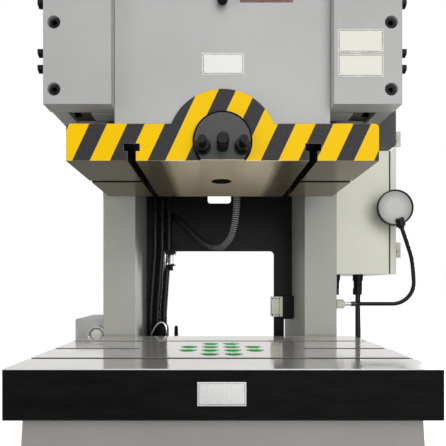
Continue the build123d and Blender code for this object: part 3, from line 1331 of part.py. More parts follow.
def cabinet_box():
    """The sheet cabinet on the right-hand frame, open towards its door."""
    shell = block((FRAME_HALF, CABINET_FACE), (CABINET_FRONT, CABINET_BACK), (CABINET_BOTTOM, CABINET_TOP))
    shell -= block(
        (FRAME_HALF + CABINET_WALL, CABINET_FACE + CUT),
        (CABINET_FRONT + CABINET_WALL, CABINET_BACK - CABINET_WALL),
        (CABINET_BOTTOM + CABINET_WALL, CABINET_TOP - CABINET_WALL),
    )
    floor = (CABINET_BOTTOM - CUT, CABINET_BOTTOM + CABINET_WALL + CUT)
    shell -= rod("Z", CABLE_RADIUS, floor, (CABLE_X, CABLE_Y))
    for z in HINGE_Z:
        shell += hinge_half(z, 1)
    return shell


def hinge_half(z, side):
    """Half a door hinge: side 1 is the upper half with the pin, side -1 the lower half with the bore."""
    low, high = sorted((z + side * HINGE_SPLIT_GAP, z + side * HINGE_HALF_HEIGHT))
    half = rod("Z", HINGE_RADIUS, (low, high), (HINGE_X, HINGE_Y))
    strap_y = (CABINET_BACK, CABINET_BACK + HINGE_STRAP_THICK)
    if side > 0:
        half += block((HINGE_X - HINGE_STRAP_LENGTH, HINGE_X), strap_y, (low, high))
        return half + rod("Z", HINGE_PIN_RADIUS, (z - HINGE_HALF_HEIGHT, high), (HINGE_X, HINGE_Y))
    half += block((HINGE_X, DOOR_FACE), strap_y, (low, high))
    return half - rod("Z", HINGE_PIN_RADIUS + RUNNING_GAP, (low - CUT, high + CUT), (HINGE_X, HINGE_Y))


def cabinet_door():
    """The tray-shaped door with its hinge halves and holes for latches and switch."""
    door = block((DOOR_BACK, DOOR_FACE), (CABINET_FRONT, CABINET_BACK), (CABINET_BOTTOM, CABINET_TOP))
    door = fillet(door.edges().filter_by(Axis.X), DOOR_WALL)
    inset = DOOR_WALL + SEAL_INSET + SEAL_WIDTH
    door -= block(
        (DOOR_BACK - CUT, DOOR_FACE - DOOR_WALL),
        (CABINET_FRONT + inset, CABINET_BACK - inset),
        (CABINET_BOTTOM + inset, CABINET_TOP - inset),
    )
    for z in HINGE_Z:
        door += hinge_half(z, -1)
    through = (DOOR_BACK - CUT, DOOR_FACE + CUT)
    for z in LATCH_Z:
        door -= rod("X", LATCH_SHAFT_RADIUS + RUNNING_GAP, through, (LATCH_Y, z))
    return door - rod("X", SWITCH_SHAFT_RADIUS + RUNNING_GAP, through, (SWITCH_Y, SWITCH_Z))


def door_seal():
    """The rubber frame between door and cabinet."""
    outer = (CABINET_FRONT + SEAL_INSET, CABINET_BACK - SEAL_INSET)
    outer_z = (CABINET_BOTTOM + SEAL_INSET, CABINET_TOP - SEAL_INSET)
    ring = block((CABINET_FACE, DOOR_BACK), outer, outer_z)
    return ring - block(
        (CABINET_FACE - CUT, DOOR_BACK + CUT),
        (outer[0] + SEAL_WIDTH, outer[1] - SEAL_WIDTH),
        (outer_z[0] + SEAL_WIDTH, outer_z[1] - SEAL_WIDTH),
    )


def door_latch(z):
    """A quarter-turn latch with a wing grip."""
    at = (LATCH_Y, z)
    knob_top = DOOR_FACE + LATCH_HEIGHT
    latch = rod("X", LATCH_SHAFT_RADIUS, (DOOR_BACK, DOOR_FACE), at)
    latch += rod("X", LATCH_RADIUS, (DOOR_FACE, knob_top), at)
    return latch + block(
        (knob_top, knob_top + LATCH_WING_HEIGHT),
        (LATCH_Y - LATCH_WING_WIDTH / 2, LATCH_Y + LATCH_WING_WIDTH / 2),
        (z - LATCH_WING_LENGTH / 2, z + LATCH_WING_LENGTH / 2),
    )


def main_switch():
    """The rotary main switch handle in the middle of the door."""
    at = (SWITCH_Y, SWITCH_Z)
    top = DOOR_FACE + SWITCH_HEIGHT
    handle = rod("X", SWITCH_SHAFT_RADIUS, (DOOR_BACK, DOOR_FACE), at)
    handle += rod("X", SWITCH_RADIUS, (DOOR_FACE, top), at)
    return handle + block(
        (top, top + SWITCH_GRIP_HEIGHT),
        (SWITCH_Y - SWITCH_GRIP_WIDTH / 2, SWITCH_Y + SWITCH_GRIP_WIDTH / 2),
        (SWITCH_Z - SWITCH_RADIUS, SWITCH_Z + SWITCH_RADIUS),
    )


def mounting_plate():
    """The plate inside the cabinet, on four studs."""
    back = FRAME_HALF + CABINET_WALL
    plate_x = (back + MOUNTING_PLATE_STANDOFF, back + MOUNTING_PLATE_STANDOFF + MOUNTING_PLATE_THICK)
    y = (CABINET_FRONT + MOUNTING_PLATE_INSET, CABINET_BACK - MOUNTING_PLATE_INSET)
    z = (CABINET_BOTTOM + MOUNTING_PLATE_INSET, CABINET_TOP - MOUNTING_PLATE_INSET)
    plate = block(plate_x, y, z)
    for corner_y in (y[0] + MOUNTING_PLATE_INSET, y[1] - MOUNTING_PLATE_INSET):
        for corner_z in (z[0] + MOUNTING_PLATE_INSET, z[1] - MOUNTING_PLATE_INSET):
            plate += rod("X", STANDOFF_RADIUS, (back, plate_x[1]), (corner_y, corner_z))
    return plate


def devices():
    """Rows of contactors and relays on the mounting plate."""
    base = FRAME_HALF + CABINET_WALL + MOUNTING_PLATE_STANDOFF + MOUNTING_PLATE_THICK
    pitch = DEVICE_WIDTH + DEVICE_GAP
    first_y = (CABINET_FRONT + CABINET_BACK) / 2 - (DEVICES_PER_ROW - 1) * pitch / 2
    first_z = (CABINET_BOTTOM + CABINET_TOP) / 2 - (DEVICE_ROWS - 1) * DEVICE_ROW_PITCH / 2
    made = []
    for row in range(DEVICE_ROWS):
        z = first_z + row * DEVICE_ROW_PITCH
        for i in range(DEVICES_PER_ROW):
            y = first_y + i * pitch
            across = (y - DEVICE_WIDTH / 2, y + DEVICE_WIDTH / 2)
            half = DEVICE_HEIGHT / 2
            nose = half * DEVICE_NOSE_SHARE
            device = block((base, base + DEVICE_DEPTH * DEVICE_NOSE_SHARE), across, (z - half, z + half))
            made.append(device + block((base, base + DEVICE_DEPTH), across, (z - nose, z + nose)))
    return made


def gland(x, y, start, direction, bored):
    """A cable gland along Z from a face: a ribbed body and a hexagon nut."""
    body_end = start + direction * GLAND_BODY_LENGTH
    nut_end = body_end + direction * GLAND_NUT_LENGTH
    piece = rod("Z", GLAND_BODY_RADIUS - GLAND_RIB, sorted((start, body_end)), (x, y))
    rib_end = start + direction * GLAND_NUT_LENGTH
    piece += rod("Z", GLAND_BODY_RADIUS, sorted((start, rib_end)), (x, y))
    piece += hex_bar("Z", GLAND_NUT_FLATS, sorted((body_end, nut_end)), (x, y))
    if bored:
        piece -= rod("Z", CABLE_RADIUS, sorted((start - direction * CUT, nut_end + direction * CUT)), (x, y))
    return piece


def junction_box():
    """The small box on the bed's side that the cabinet's cable drops into."""
    box = block(
        (FRAME_HALF, CABLE_X + JUNCTION_EDGE),
        (CABLE_Y - JUNCTION_LENGTH / 2, CABLE_Y + JUNCTION_LENGTH / 2),
        (JUNCTION_TOP - JUNCTION_HEIGHT, JUNCTION_TOP),
    )
    return fillet(box.edges().filter_by(Axis.X), JUNCTION_CORNER)


def build_cabinet():
    """Writes the cabinet, its door and contents, and the cable below it."""
    save("cabinet_box", cabinet_box())
    save("cabinet_door", cabinet_door())
    save("door_seal", door_seal())
    save("latch_lower", door_latch(LATCH_Z[0]))
    save("latch_upper", door_latch(LATCH_Z[1]))
    save("main_switch", main_switch())
    save("control_devices", mounting_plate(), *devices())
    spare_x = FRAME_HALF + SPARE_GLAND_OFFSET
    glands = [
        gland(CABLE_X, CABLE_Y, CABINET_BOTTOM, -1, True),
        gland(spare_x, CABLE_Y, CABINET_BOTTOM, -1, False),
        gland(CABLE_X, CABLE_Y, JUNCTION_TOP, 1, True),
    ]
    save("cable_glands", *glands)
    save("junction_box", junction_box())
    cable = rod("Z", CABLE_RADIUS, (JUNCTION_TOP, CABINET_BOTTOM), (CABLE_X, CABLE_Y))
    save("cabinet_cable", cable)


# Gooseneck work light


def lamp_base():
    """The light's flange, ribbed and tapered collar, thin stem and ferrule on the right-hand column."""
    collar_start = FRAME_HALF + LAMP_FLANGE_THICK
    points = [(FRAME_HALF, 0), (FRAME_HALF, LAMP_FLANGE_RADIUS), (collar_start, LAMP_FLANGE_RADIUS)]
    for i in range(LAMP_RIBS):
        rib = collar_start + i * LAMP_RIB_PITCH
        valley = rib + LAMP_RIB_PITCH / 2
        points += [(rib, LAMP_COLLAR_RADIUS), (valley, LAMP_COLLAR_RADIUS - LAMP_RIB_DEPTH)]
    points += [
        (LAMP_COLLAR_END - LAMP_TAPER_LENGTH, LAMP_COLLAR_RADIUS),
        (LAMP_COLLAR_END, LAMP_FERRULE_RADIUS),
        (LAMP_COLLAR_END, LAMP_STEM_RADIUS),
        (GOOSENECK_START - LAMP_FERRULE_LENGTH, LAMP_STEM_RADIUS),
        (GOOSENECK_START - LAMP_FERRULE_LENGTH, LAMP_FERRULE_RADIUS),
        (GOOSENECK_START, LAMP_FERRULE_RADIUS),
        (GOOSENECK_START, 0),
    ]
    base = revolve(make_face(Polyline(*points, close=True)), axis=Axis.X)
    return Pos(0, LAMP_Y, LAMP_Z) * base


def gooseneck_points():
    """Corners of the gooseneck, all in one plane beside the column."""
    return [
        (GOOSENECK_START, LAMP_Y, LAMP_Z),
        (FRAME_HALF + GOOSENECK_REACH, LAMP_Y, LAMP_Z),
        (FRAME_HALF + GOOSENECK_MIDDLE_REACH, LAMP_Y, LAMP_Z + GOOSENECK_MIDDLE_RISE),
        (FRAME_HALF + GOOSENECK_END_REACH, LAMP_Y, LAMP_Z + GOOSENECK_END_RISE),
    ]


def gooseneck():
    """The bendable arm, a round tube along straight runs and arcs."""
    path = FilletPolyline(*gooseneck_points(), radius=[GOOSENECK_LOWER_RADIUS, GOOSENECK_UPPER_RADIUS])
    start = Plane(origin=path @ 0, z_dir=path % 0)
    return sweep(start * Circle(GOOSENECK_RADIUS), path=path)


def lamp_frame():
    """The plane of the lamp's neck: its end, and the direction from the gooseneck to the head."""
    points = gooseneck_points()
    end = Vector(*points[-1])
    direction = (end - Vector(*points[-2])).normalized()
    return end, direction


def lamp_centre():
    """The middle of the lamp head's rim, straight on from the gooseneck."""
    end, direction = lamp_frame()
    return end + direction * (LAMP_NECK_LENGTH + LAMP_HEAD_RADIUS - LAMP_HEAD_WALL)


def lamp_head():
    """The shallow round shade, open to the front."""
    centre = lamp_centre()
    outline = make_face(
        Polyline(
            (0, LAMP_HEAD_DEPTH),
            (LAMP_HEAD_RADIUS * LAMP_CROWN_SHARE, LAMP_HEAD_DEPTH),
            (LAMP_HEAD_RADIUS, LAMP_RIM_DEPTH),
            (LAMP_HEAD_RADIUS, 0),
            (LAMP_HEAD_RADIUS - LAMP_HEAD_WALL, 0),
            (LAMP_HEAD_RADIUS - LAMP_HEAD_WALL, LAMP_RIM_DEPTH),
            (LAMP_HEAD_RADIUS * LAMP_CROWN_SHARE, LAMP_HEAD_DEPTH - LAMP_HEAD_WALL),
            (0, LAMP_HEAD_DEPTH - LAMP_HEAD_WALL),
            close=True,
        )
    )
    shade = revolve(outline, axis=Axis.Y)
    return Pos(centre.X, LAMP_Y - LAMP_RIM_DEPTH / 2, centre.Z) * shade


def lamp_lens():
    """The frosted disc set in the shade's mouth."""
    centre = lamp_centre()
    front = LAMP_Y - LAMP_RIM_DEPTH / 2 + LAMP_LENS_SINK
    radius = LAMP_HEAD_RADIUS - LAMP_HEAD_WALL
    return rod("Y", radius, (front, front + LAMP_LENS_THICK), (centre.X, centre.Z))


def lamp_neck():
    """The nut on the gooseneck's end, and the block that clips over the shade's rim."""
    end, direction = lamp_frame()
    nut = extrude(Plane(origin=end, z_dir=direction) * Circle(LAMP_NUT_RADIUS), amount=LAMP_NUT_LENGTH)
    seat = Plane(origin=end + direction * LAMP_NUT_LENGTH, z_dir=direction)
    reach = LAMP_NECK_LENGTH - LAMP_NUT_LENGTH + LAMP_CLIP_REACH
    neck = nut + extrude(seat * Circle(LAMP_NECK_RADIUS), amount=reach)
    centre = lamp_centre()
    depth = (LAMP_Y - LAMP_RIM_DEPTH / 2, LAMP_Y + LAMP_HEAD_DEPTH)
    return neck - rod("Y", LAMP_HEAD_RADIUS, depth, (centre.X, centre.Z))


def build_lamp():
    """Writes the gooseneck work light."""
    save("lamp_base", lamp_base())
    save("lamp_gooseneck", gooseneck(), lamp_neck())
    save("lamp_head", lamp_head())
    save("lamp_lens", lamp_lens())


# Small equipment on the frame


def lube_cover():
    """The folded cover over the guide lubrication lines, on the right-hand jaw."""
    low = JAW_BOTTOM - LUBE_COVER_DROP
    outline = centred_rectangle(
        (FRAME_HALF, FRAME_HALF + LUBE_COVER_WIDTH), (low, low + LUBE_COVER_HEIGHT)
    )
    outer = outline.vertices().group_by(Axis.X)[-1]
    cover = front_outline(
        fillet(outer, LUBE_COVER_CORNER), (LUBE_COVER_FRONT, LUBE_COVER_FRONT + LUBE_COVER_LENGTH)
    )
    return cover


def air_box():
    """The air valve box on the left-hand column."""
    low = TABLE_HEIGHT + AIR_BOX_RISE - AIR_BOX_HEIGHT
    front = THROAT + AIR_BOX_SETBACK
    x = (-FRAME_HALF - AIR_BOX_WIDTH, -FRAME_HALF)
    box = block(x, (front, front + AIR_BOX_LENGTH), (low, low + AIR_BOX_HEIGHT))
    left = box.edges().filter_by(Axis.Z).group_by(Axis.X)[0]
    return fillet(left, AIR_BOX_CORNER)


def pressure_gauge():
    """A round gauge with a raised bezel on the front of the air box."""
    back = THROAT + AIR_BOX_SETBACK
    front = back - GAUGE_THICK
    at = (GAUGE_X, TABLE_HEIGHT + AIR_BOX_RISE - GAUGE_DROP)
    gauge = rod("Y", GAUGE_RADIUS, (front, back), at)
    return gauge - rod("Y", GAUGE_RADIUS - GAUGE_BEZEL, (front - CUT, front + GAUGE_BEZEL), at)


def limit_switch():
    """A black switch body on the right-hand column's inside, and its pale cover."""
    z = (TABLE_HEIGHT + SWITCH_BOX_RISE, TABLE_HEIGHT + SWITCH_BOX_RISE + SWITCH_BOX_HEIGHT)
    y = (GUARD_SHEET_Y - SWITCH_BOX_LENGTH, GUARD_SHEET_Y)
    split = COLUMN_INNER - SWITCH_BOX_WIDTH
    body = block((split, COLUMN_INNER), y, z)
    cover = block(
        (split - SWITCH_COVER_WIDTH, split),
        (y[0] + SWITCH_COVER_INSET, y[1]),
        (z[0] + SWITCH_COVER_INSET, z[1] - SWITCH_COVER_INSET),
    )
    groove_end = split - SWITCH_LIP_WIDTH
    cover -= block(
        (groove_end - SWITCH_GROOVE_WIDTH, groove_end),
        (y[0] - CUT, y[0] + SWITCH_COVER_INSET + SWITCH_GROOVE_DEPTH),
        (z[0] - CUT, z[1] + CUT),
    )
    return body, cover


def manifolds():
    """Upper and lower air manifolds on the left-hand column's inside."""
    lower_x = (-COLUMN_INNER, -COLUMN_INNER + MANIFOLD_WIDTH)
    upper_x = (-COLUMN_INNER, -COLUMN_INNER + MANIFOLD_WIDTH + HOSE_LEAN)
    low = TABLE_HEIGHT - MANIFOLD_LOW_DROP
    spans = ((lower_x, low), (upper_x, MANIFOLD_HIGH))
    return [block(x, MANIFOLD_Y, (z, z + MANIFOLD_HEIGHT)) for x, z in spans]


def pressure_sensor():
    """The domed pressure switch that stands on a stub in front of the lower manifold."""
    x = -COLUMN_INNER + SENSOR_OFFSET
    y = MANIFOLD_Y[0] - SENSOR_GAP - SENSOR_RADIUS
    low = TABLE_HEIGHT - MANIFOLD_LOW_DROP
    body = rod("Z", SENSOR_RADIUS, (low, low + SENSOR_HEIGHT), (x, y))
    body = fillet(body.edges().group_by(Axis.Z)[-1], SENSOR_ROUND)
    return body + rod("Y", SENSOR_STUB_RADIUS, (y, MANIFOLD_Y[0]), (x, low + MANIFOLD_HEIGHT / 2))


def air_hose(i):
    """One black hose between the manifolds, leaning a little to the right on its way up."""
    x = HOSE_MIDDLE + (i - (HOSE_COUNT - 1) / 2) * HOSE_PITCH
    y = (MANIFOLD_Y[0] + MANIFOLD_Y[1]) / 2
    low = TABLE_HEIGHT - MANIFOLD_LOW_DROP + MANIFOLD_HEIGHT
    bend = low + HOSE_STRAIGHT
    path = FilletPolyline(
        (x, y, low),
        (x, y, bend),
        (x + HOSE_LEAN, y, bend + HOSE_LEAN_LENGTH),
        (x + HOSE_LEAN, y, MANIFOLD_HIGH),
        radius=HOSE_BEND_RADIUS,
    )
    return sweep(Plane(origin=path @ 0, z_dir=path % 0) * Circle(HOSE_RADIUS), path=path)


def regulator():
    """The air regulator's head on its bracket, and the ring and knob below its bowl."""
    y = MANIFOLD_Y[0]
    top = TABLE_HEIGHT + REGULATOR_RISE + BOWL_HEIGHT + REGULATOR_HEAD_HEIGHT
    centre = HOSE_RIGHT + REGULATOR_OFFSET
    head_half = REGULATOR_HEAD / 2
    head = block(
        (centre - head_half, centre + head_half), (y - REGULATOR_HEAD, y), (top - REGULATOR_HEAD_HEIGHT, top)
    )
    bracket_x = (HOSE_RIGHT + BRACKET_GAP, centre + head_half)
    head += block(bracket_x, (y - REGULATOR_HEAD, GUARD_SHEET_Y), (top, top + BRACKET_THICK))
    head += block(bracket_x, (GUARD_SHEET_Y - BRACKET_THICK, GUARD_SHEET_Y), (top, top + BRACKET_HEIGHT))
    at = (centre, y - head_half)
    bowl_top = top - REGULATOR_HEAD_HEIGHT
    bowl = rod("Z", BOWL_RADIUS, (bowl_top - BOWL_HEIGHT, bowl_top), at)
    bowl -= rod("Z", BOWL_RADIUS - BOWL_WALL, (bowl_top - BOWL_HEIGHT + BOWL_WALL, bowl_top + CUT), at)
    ring_top = bowl_top - BOWL_HEIGHT
    knob_top = ring_top - BOWL_RING_HEIGHT
    knob = rod("Z", BOWL_RADIUS + BOWL_RING_EDGE, (knob_top, ring_top), at)
    knob += rod("Z", REGULATOR_KNOB_RADIUS, (knob_top - REGULATOR_KNOB_HEIGHT, knob_top), at)
    return head, bowl, knob


def air_valve():
    """The shut-off valve on the lower manifold."""
    x = (-COLUMN_INNER + MANIFOLD_WIDTH, -COLUMN_INNER + MANIFOLD_WIDTH + VALVE_LENGTH)
    y = (MANIFOLD_Y[0] + MANIFOLD_Y[1]) / 2
    z = TABLE_HEIGHT - MANIFOLD_LOW_DROP + MANIFOLD_HEIGHT / 2
    valve = rod("X", VALVE_RADIUS, x, (y, z))
    hole = (y - VALVE_RADIUS - CUT, y)
    return valve - rod("Y", LEVER_SPINDLE_RADIUS + RUNNING_GAP, hole, (VALVE_X, z))


def valve_lever():
    """The shut-off valve's lever, standing up."""
    y = (MANIFOLD_Y[0] + MANIFOLD_Y[1]) / 2
    z = TABLE_HEIGHT - MANIFOLD_LOW_DROP + MANIFOLD_HEIGHT / 2
    face = y - VALVE_RADIUS - GIB_CLEARANCE
    lever_y = (face - LEVER_THICK, face)
    tip = z + LEVER_LENGTH - LEVER_TIP_RADIUS
    outline = Pos(VALVE_X, 0) * hull_of_circles(LEVER_WIDTH / 2, z, LEVER_TIP_RADIUS, tip)
    lever = front_outline(outline, lever_y)
    return lever + rod("Y", LEVER_SPINDLE_RADIUS, (face, y), (VALVE_X, z))


def build_equipment():
    """Writes the small equipment around the die space."""
    save("lube_cover", lube_cover())
    save("air_box", air_box())
    save("pressure_gauge", pressure_gauge())
    body, cover = limit_switch()
    save("limit_switch_body", body)
    save("limit_switch_cover", cover)
    save("air_manifolds", *manifolds(), air_valve(), pressure_sensor())
    save("air_hoses", *[air_hose(i) for i in range(HOSE_COUNT)])
    head, bowl, knob = regulator()
    save("regulator", head, knob)
    save("regulator_bowl", bowl)
    save("valve_lever", valve_lever())
    save("slide_conduit", conduit())


# Conduit between the slide and the rear guard


def conduit_points():
    """Corners of the conduit's route, from the slide's back down and across to the rear guard."""
    reach = math.hypot(CONDUIT_RUN_X, CONDUIT_RUN_Y)
    top_y = SLIDE_BODY_BACK + CONDUIT_STANDOFF
    top_z = SLIDE_BOTTOM + CONDUIT_RISE
    return [
        (
            CONDUIT_OFFSET + level * CONDUIT_RUN_X / reach,
            top_y + level * CONDUIT_RUN_Y / reach,
            top_z - drop,
        )
        for level, drop in CONDUIT_ROUTE
    ]


def bend_radii(points):
    """The largest even bend at each inner corner of a route."""
    radii = []
    for before, corner, after in zip(points, points[1:], points[2:]):
        run_in = Vector(*corner) - Vector(*before)
        run_out = Vector(*after) - Vector(*corner)
        half_turn = math.radians(run_in.get_angle(run_out)) / 2
        radii.append(BEND_SHARE * min(run_in.length, run_out.length) / math.tan(half_turn))
    return radii


def conduit():
    """The hanging conduit, a round tube of straight runs and tangent arcs."""
    points = conduit_points()
    radii = bend_radii(points)
    path = FilletPolyline(*points, radius=radii)
    return sweep(Plane(origin=path @ 0, z_dir=path % 0) * Circle(CONDUIT_RADIUS), path=path)


def conduit_gland():
    """The slanted fitting that carries the conduit's lower end on the rear guard."""
    points = conduit_points()
    end = Vector(*points[-1])
    direction = (end - Vector(*points[-2])).normalized()
    stub = extrude(Plane(origin=end, z_dir=direction) * Circle(FITTING_RADIUS), amount=GUARD_SHEET_BACK)
    reach = FITTING_LENGTH + GUARD_SHEET_BACK
    side = (end.X - reach, end.X + reach)
    height = (end.Z - reach, end.Z + reach)
    return stub - block(side, (GUARD_SHEET_Y, GUARD_SHEET_Y + reach), height)


os.makedirs("parts", exist_ok=True)
build_frame()
build_table()
build_guides()
build_slide()
build_crank_drive()
build_flywheel_drive()
build_cabinet()
build_lamp()
build_equipment()
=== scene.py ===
import math

import bmesh
import bpy
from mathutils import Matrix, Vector


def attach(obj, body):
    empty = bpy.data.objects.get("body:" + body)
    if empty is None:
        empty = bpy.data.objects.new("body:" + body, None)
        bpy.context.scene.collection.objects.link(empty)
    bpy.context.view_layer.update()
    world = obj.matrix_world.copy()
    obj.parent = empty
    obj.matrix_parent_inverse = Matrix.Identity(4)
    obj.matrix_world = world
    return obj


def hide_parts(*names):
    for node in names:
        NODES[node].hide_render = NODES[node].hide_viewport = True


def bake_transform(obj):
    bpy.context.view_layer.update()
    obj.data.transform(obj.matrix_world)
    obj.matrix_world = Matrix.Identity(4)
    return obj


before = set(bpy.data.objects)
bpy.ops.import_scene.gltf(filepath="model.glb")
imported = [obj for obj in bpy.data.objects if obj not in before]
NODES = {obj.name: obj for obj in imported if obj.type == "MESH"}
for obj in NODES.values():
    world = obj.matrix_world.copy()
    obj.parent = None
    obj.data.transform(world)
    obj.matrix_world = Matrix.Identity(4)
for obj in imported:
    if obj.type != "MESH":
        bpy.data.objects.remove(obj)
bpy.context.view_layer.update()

# All sizes are in metres, in the frame of the solids: +Z up, front towards -Y.
SLIDE_AXIS = -0.285
TABLE_TOP = 0.850
TABLE_FRONT = SLIDE_AXIS - 0.340
SLIDE_BOTTOM = 1.423
FLANGE_FRONT = SLIDE_AXIS - 0.232
BODY_FRONT = SLIDE_AXIS - 0.215
GUIDE_FRONT = SLIDE_AXIS - 0.250
SLIDE_SLOT_OFFSET = 0.260
SLOT_HALF = 0.0235
SLOT_DEPTH = 0.0505
FRAME_HALF = 0.5015
CRANK_Z = 2.260
CLAMP_Z = SLIDE_BOTTOM + 0.056
CLAMP_RING = 0.0860
CLAMP_RIM = 0.0798
SHANK_RADIUS = 0.0355
GAUGE_CENTRE = (-0.542, 0.849)
LENS_SEAL = 0.0035
TABLE_SKIN = 0.0025
PLUG_SINK = 0.0015
PLUG_CUP = 0.014
EDGE = 0.0008

# Warning bands on the slide's front: they lean as they rise, and yellow takes a share of each
BAND_LEAN = 0.47
BAND_PITCH = 0.108
BAND_SHIFT = 40 * BAND_PITCH + 0.3805
BAND_SHARE = 0.532
BAND_DEPTH = 0.004

# Painted dark reflection on the slide's underside, darker towards the sides: how far inside the slots it
# starts, and where it is full
DARK_REFLECTION_START = 0.11
DARK_REFLECTION_FULL = 0.08

# Ends of the work light's flange, collar and stem, along X
LAMP_FLANGE_END = FRAME_HALF + 0.008
LAMP_COLLAR_END = FRAME_HALF + 0.050
LAMP_STEM_END = FRAME_HALF + 0.076

# Blank plates: their spans in X and Z, their border line and their rivets
TABLE_PLATE = ((-0.0674, 0.0597), (0.754, 0.816))
SLIDE_PLATE = ((-0.0592, 0.0627), (1.678, 1.742))
SLIDE_PLAQUE = ((0.051, 0.205), (1.889, 1.965))
GUIDE_PLATE_UPPER = ((0.324, 0.4535), (1.722, 1.789))
GUIDE_PLATE_LOWER = ((0.324, 0.4535), (1.654, 1.719))
PLATE_THICK = 0.0010
PLAQUE_THICK = 0.0025
PLATE_ROUNDING = 0.0004
LINE_INSET = 0.0035
LINE_WIDTH = 0.0012
LINE_RISE = 0.0002
LINE_SINK = 0.0004
LINE_ROUNDING = 0.0001
RIVET_INSET = 2 * LINE_INSET
RIVET_RADIUS = 0.0026
RIVET_RISE = 0.35 * RIVET_RADIUS

# Screws of the limit switch's cover: their places as shares of its width, and their heads
COVER_SCREW_SHARES = (0.09, 0.37, 0.66)
COVER_SCREW_INSET = 0.009
COVER_SCREW_RADIUS = 0.0034
COVER_SCREW_RISE = 0.0016
COVER_SCREW_SINK = 0.0002

# Rounding of the solids' edges
WELD_GAP = 0.00001
BEVEL_SEGMENTS = 2
BEVEL_ANGLE = math.radians(35)

# The photograph's frame, and the camera that took it
PHOTO_PIXELS = 446
FOCAL_PIXELS = 405
VANISHING_PIXEL = (215, 285)
SENSOR_WIDTH = 36.0
CAMERA_PLACE = (-0.0215, -1.676, 1.068)

# Flexible conduit: the route of its solid, as level distance and drop from its top end
CONDUIT_TOP = (0.069, -0.023, 1.548)
CONDUIT_RUN = Vector((-0.277, 0.360, 0)).normalized()
CONDUIT_ROUTE = (
    (0.0, 0.0),
    (0.0, 0.108),
    (0.008, 0.214),
    (0.045, 0.296),
    (0.122, 0.326),
    (0.212, 0.300),
    (0.300, 0.248),
    (0.382, 0.194),
    (0.456, 0.154),
)
CONDUIT_RADIUS = 0.014
RIDGE_PITCH = 0.0085
RIDGE_DEPTH = 0.0022
RIDGE_RINGS = 6
RIDGE_CREST = (3, 4)
# Where the conduit's painted shade starts and where it is full, along Y from its top end
CONDUIT_LIT_END = 0.02
CONDUIT_SHADE_FULL = 0.16
TUBE_SIDES = 20
ROUTE_ORDER = 3
ROUTE_STEPS = 24

# Thin pipe from the lower manifold over the pressure switch and into its side
PIPE_ROUTE = (
    (-0.335, 0.310, 0.765),
    (-0.335, 0.232, 0.765),
    (-0.325, 0.228, 0.830),
    (-0.290, 0.228, 0.893),
    (-0.256, 0.228, 0.892),
    (-0.250, 0.232, 0.830),
    (-0.256, 0.268, 0.815),
)
PIPE_RADIUS = 0.0042
PIPE_STEP = 0.004

# White surround, floor, and soft square lights: name, place, aim, width and watts
WORLD_STRENGTH = 0.22
FLOOR_SIZE = 40.0
FLOOR_GLOW = 0.82
FLOOR_TONE = (0.66, 0.66, 0.66)
LIGHTS = (
    ("front", (1.2, -4.2, 1.9), (0, 0, 1.3), 4.0, 96),
    ("left", (-3.6, -2.0, 1.9), (0, 0, 1.3), 3.0, 44),
    ("top", (0.5, -3.4, 3.8), (0, -0.3, 1.3), 2.5, 18),
    ("back", (3.8, 4.0, 1.3), (-0.3, 0.2, 1.0), 1.6, 230),
)

# Colours that several coats share
UNDERCOAT = (0.30, 0.29, 0.27)
# Tan of the ground undersides of the slide and clamp: partly ground metal, partly painted reflection of the
# surroundings
GROUND_METAL_AND_REFLECTION_TAN = (0.78, 0.66, 0.44)
# Near black: the lens's seal, and painted shade in the slide's T-slots and clamp seat
SEAL_AND_SHADE_BLACK = (0.012, 0.012, 0.012)
# Painted shade in the clamp's bore and in the gap round its rim
SHADE_BLACK = (0.006, 0.006, 0.006)
GROUND_SHINE = 0.4

# Scales of the surface patterns, from coarse to fine
CLOUDS = 4.0
SHEEN = 18.0
WEAR = 55.0
SPECKS = 220.0
ORANGE_PEEL = 420.0
GRINDING = 700.0
MOULD_GRAIN = 900.0
LENS_RINGS = 1600.0

# Sockets of the mix node, which has one set for numbers and one for colours
MIX_SHARE = 0
MIX_NUMBERS = (2, 3)
MIX_COLORS = (6, 7)
MIX_NUMBER = 0
MIX_COLOR = 2


# Shader graphs


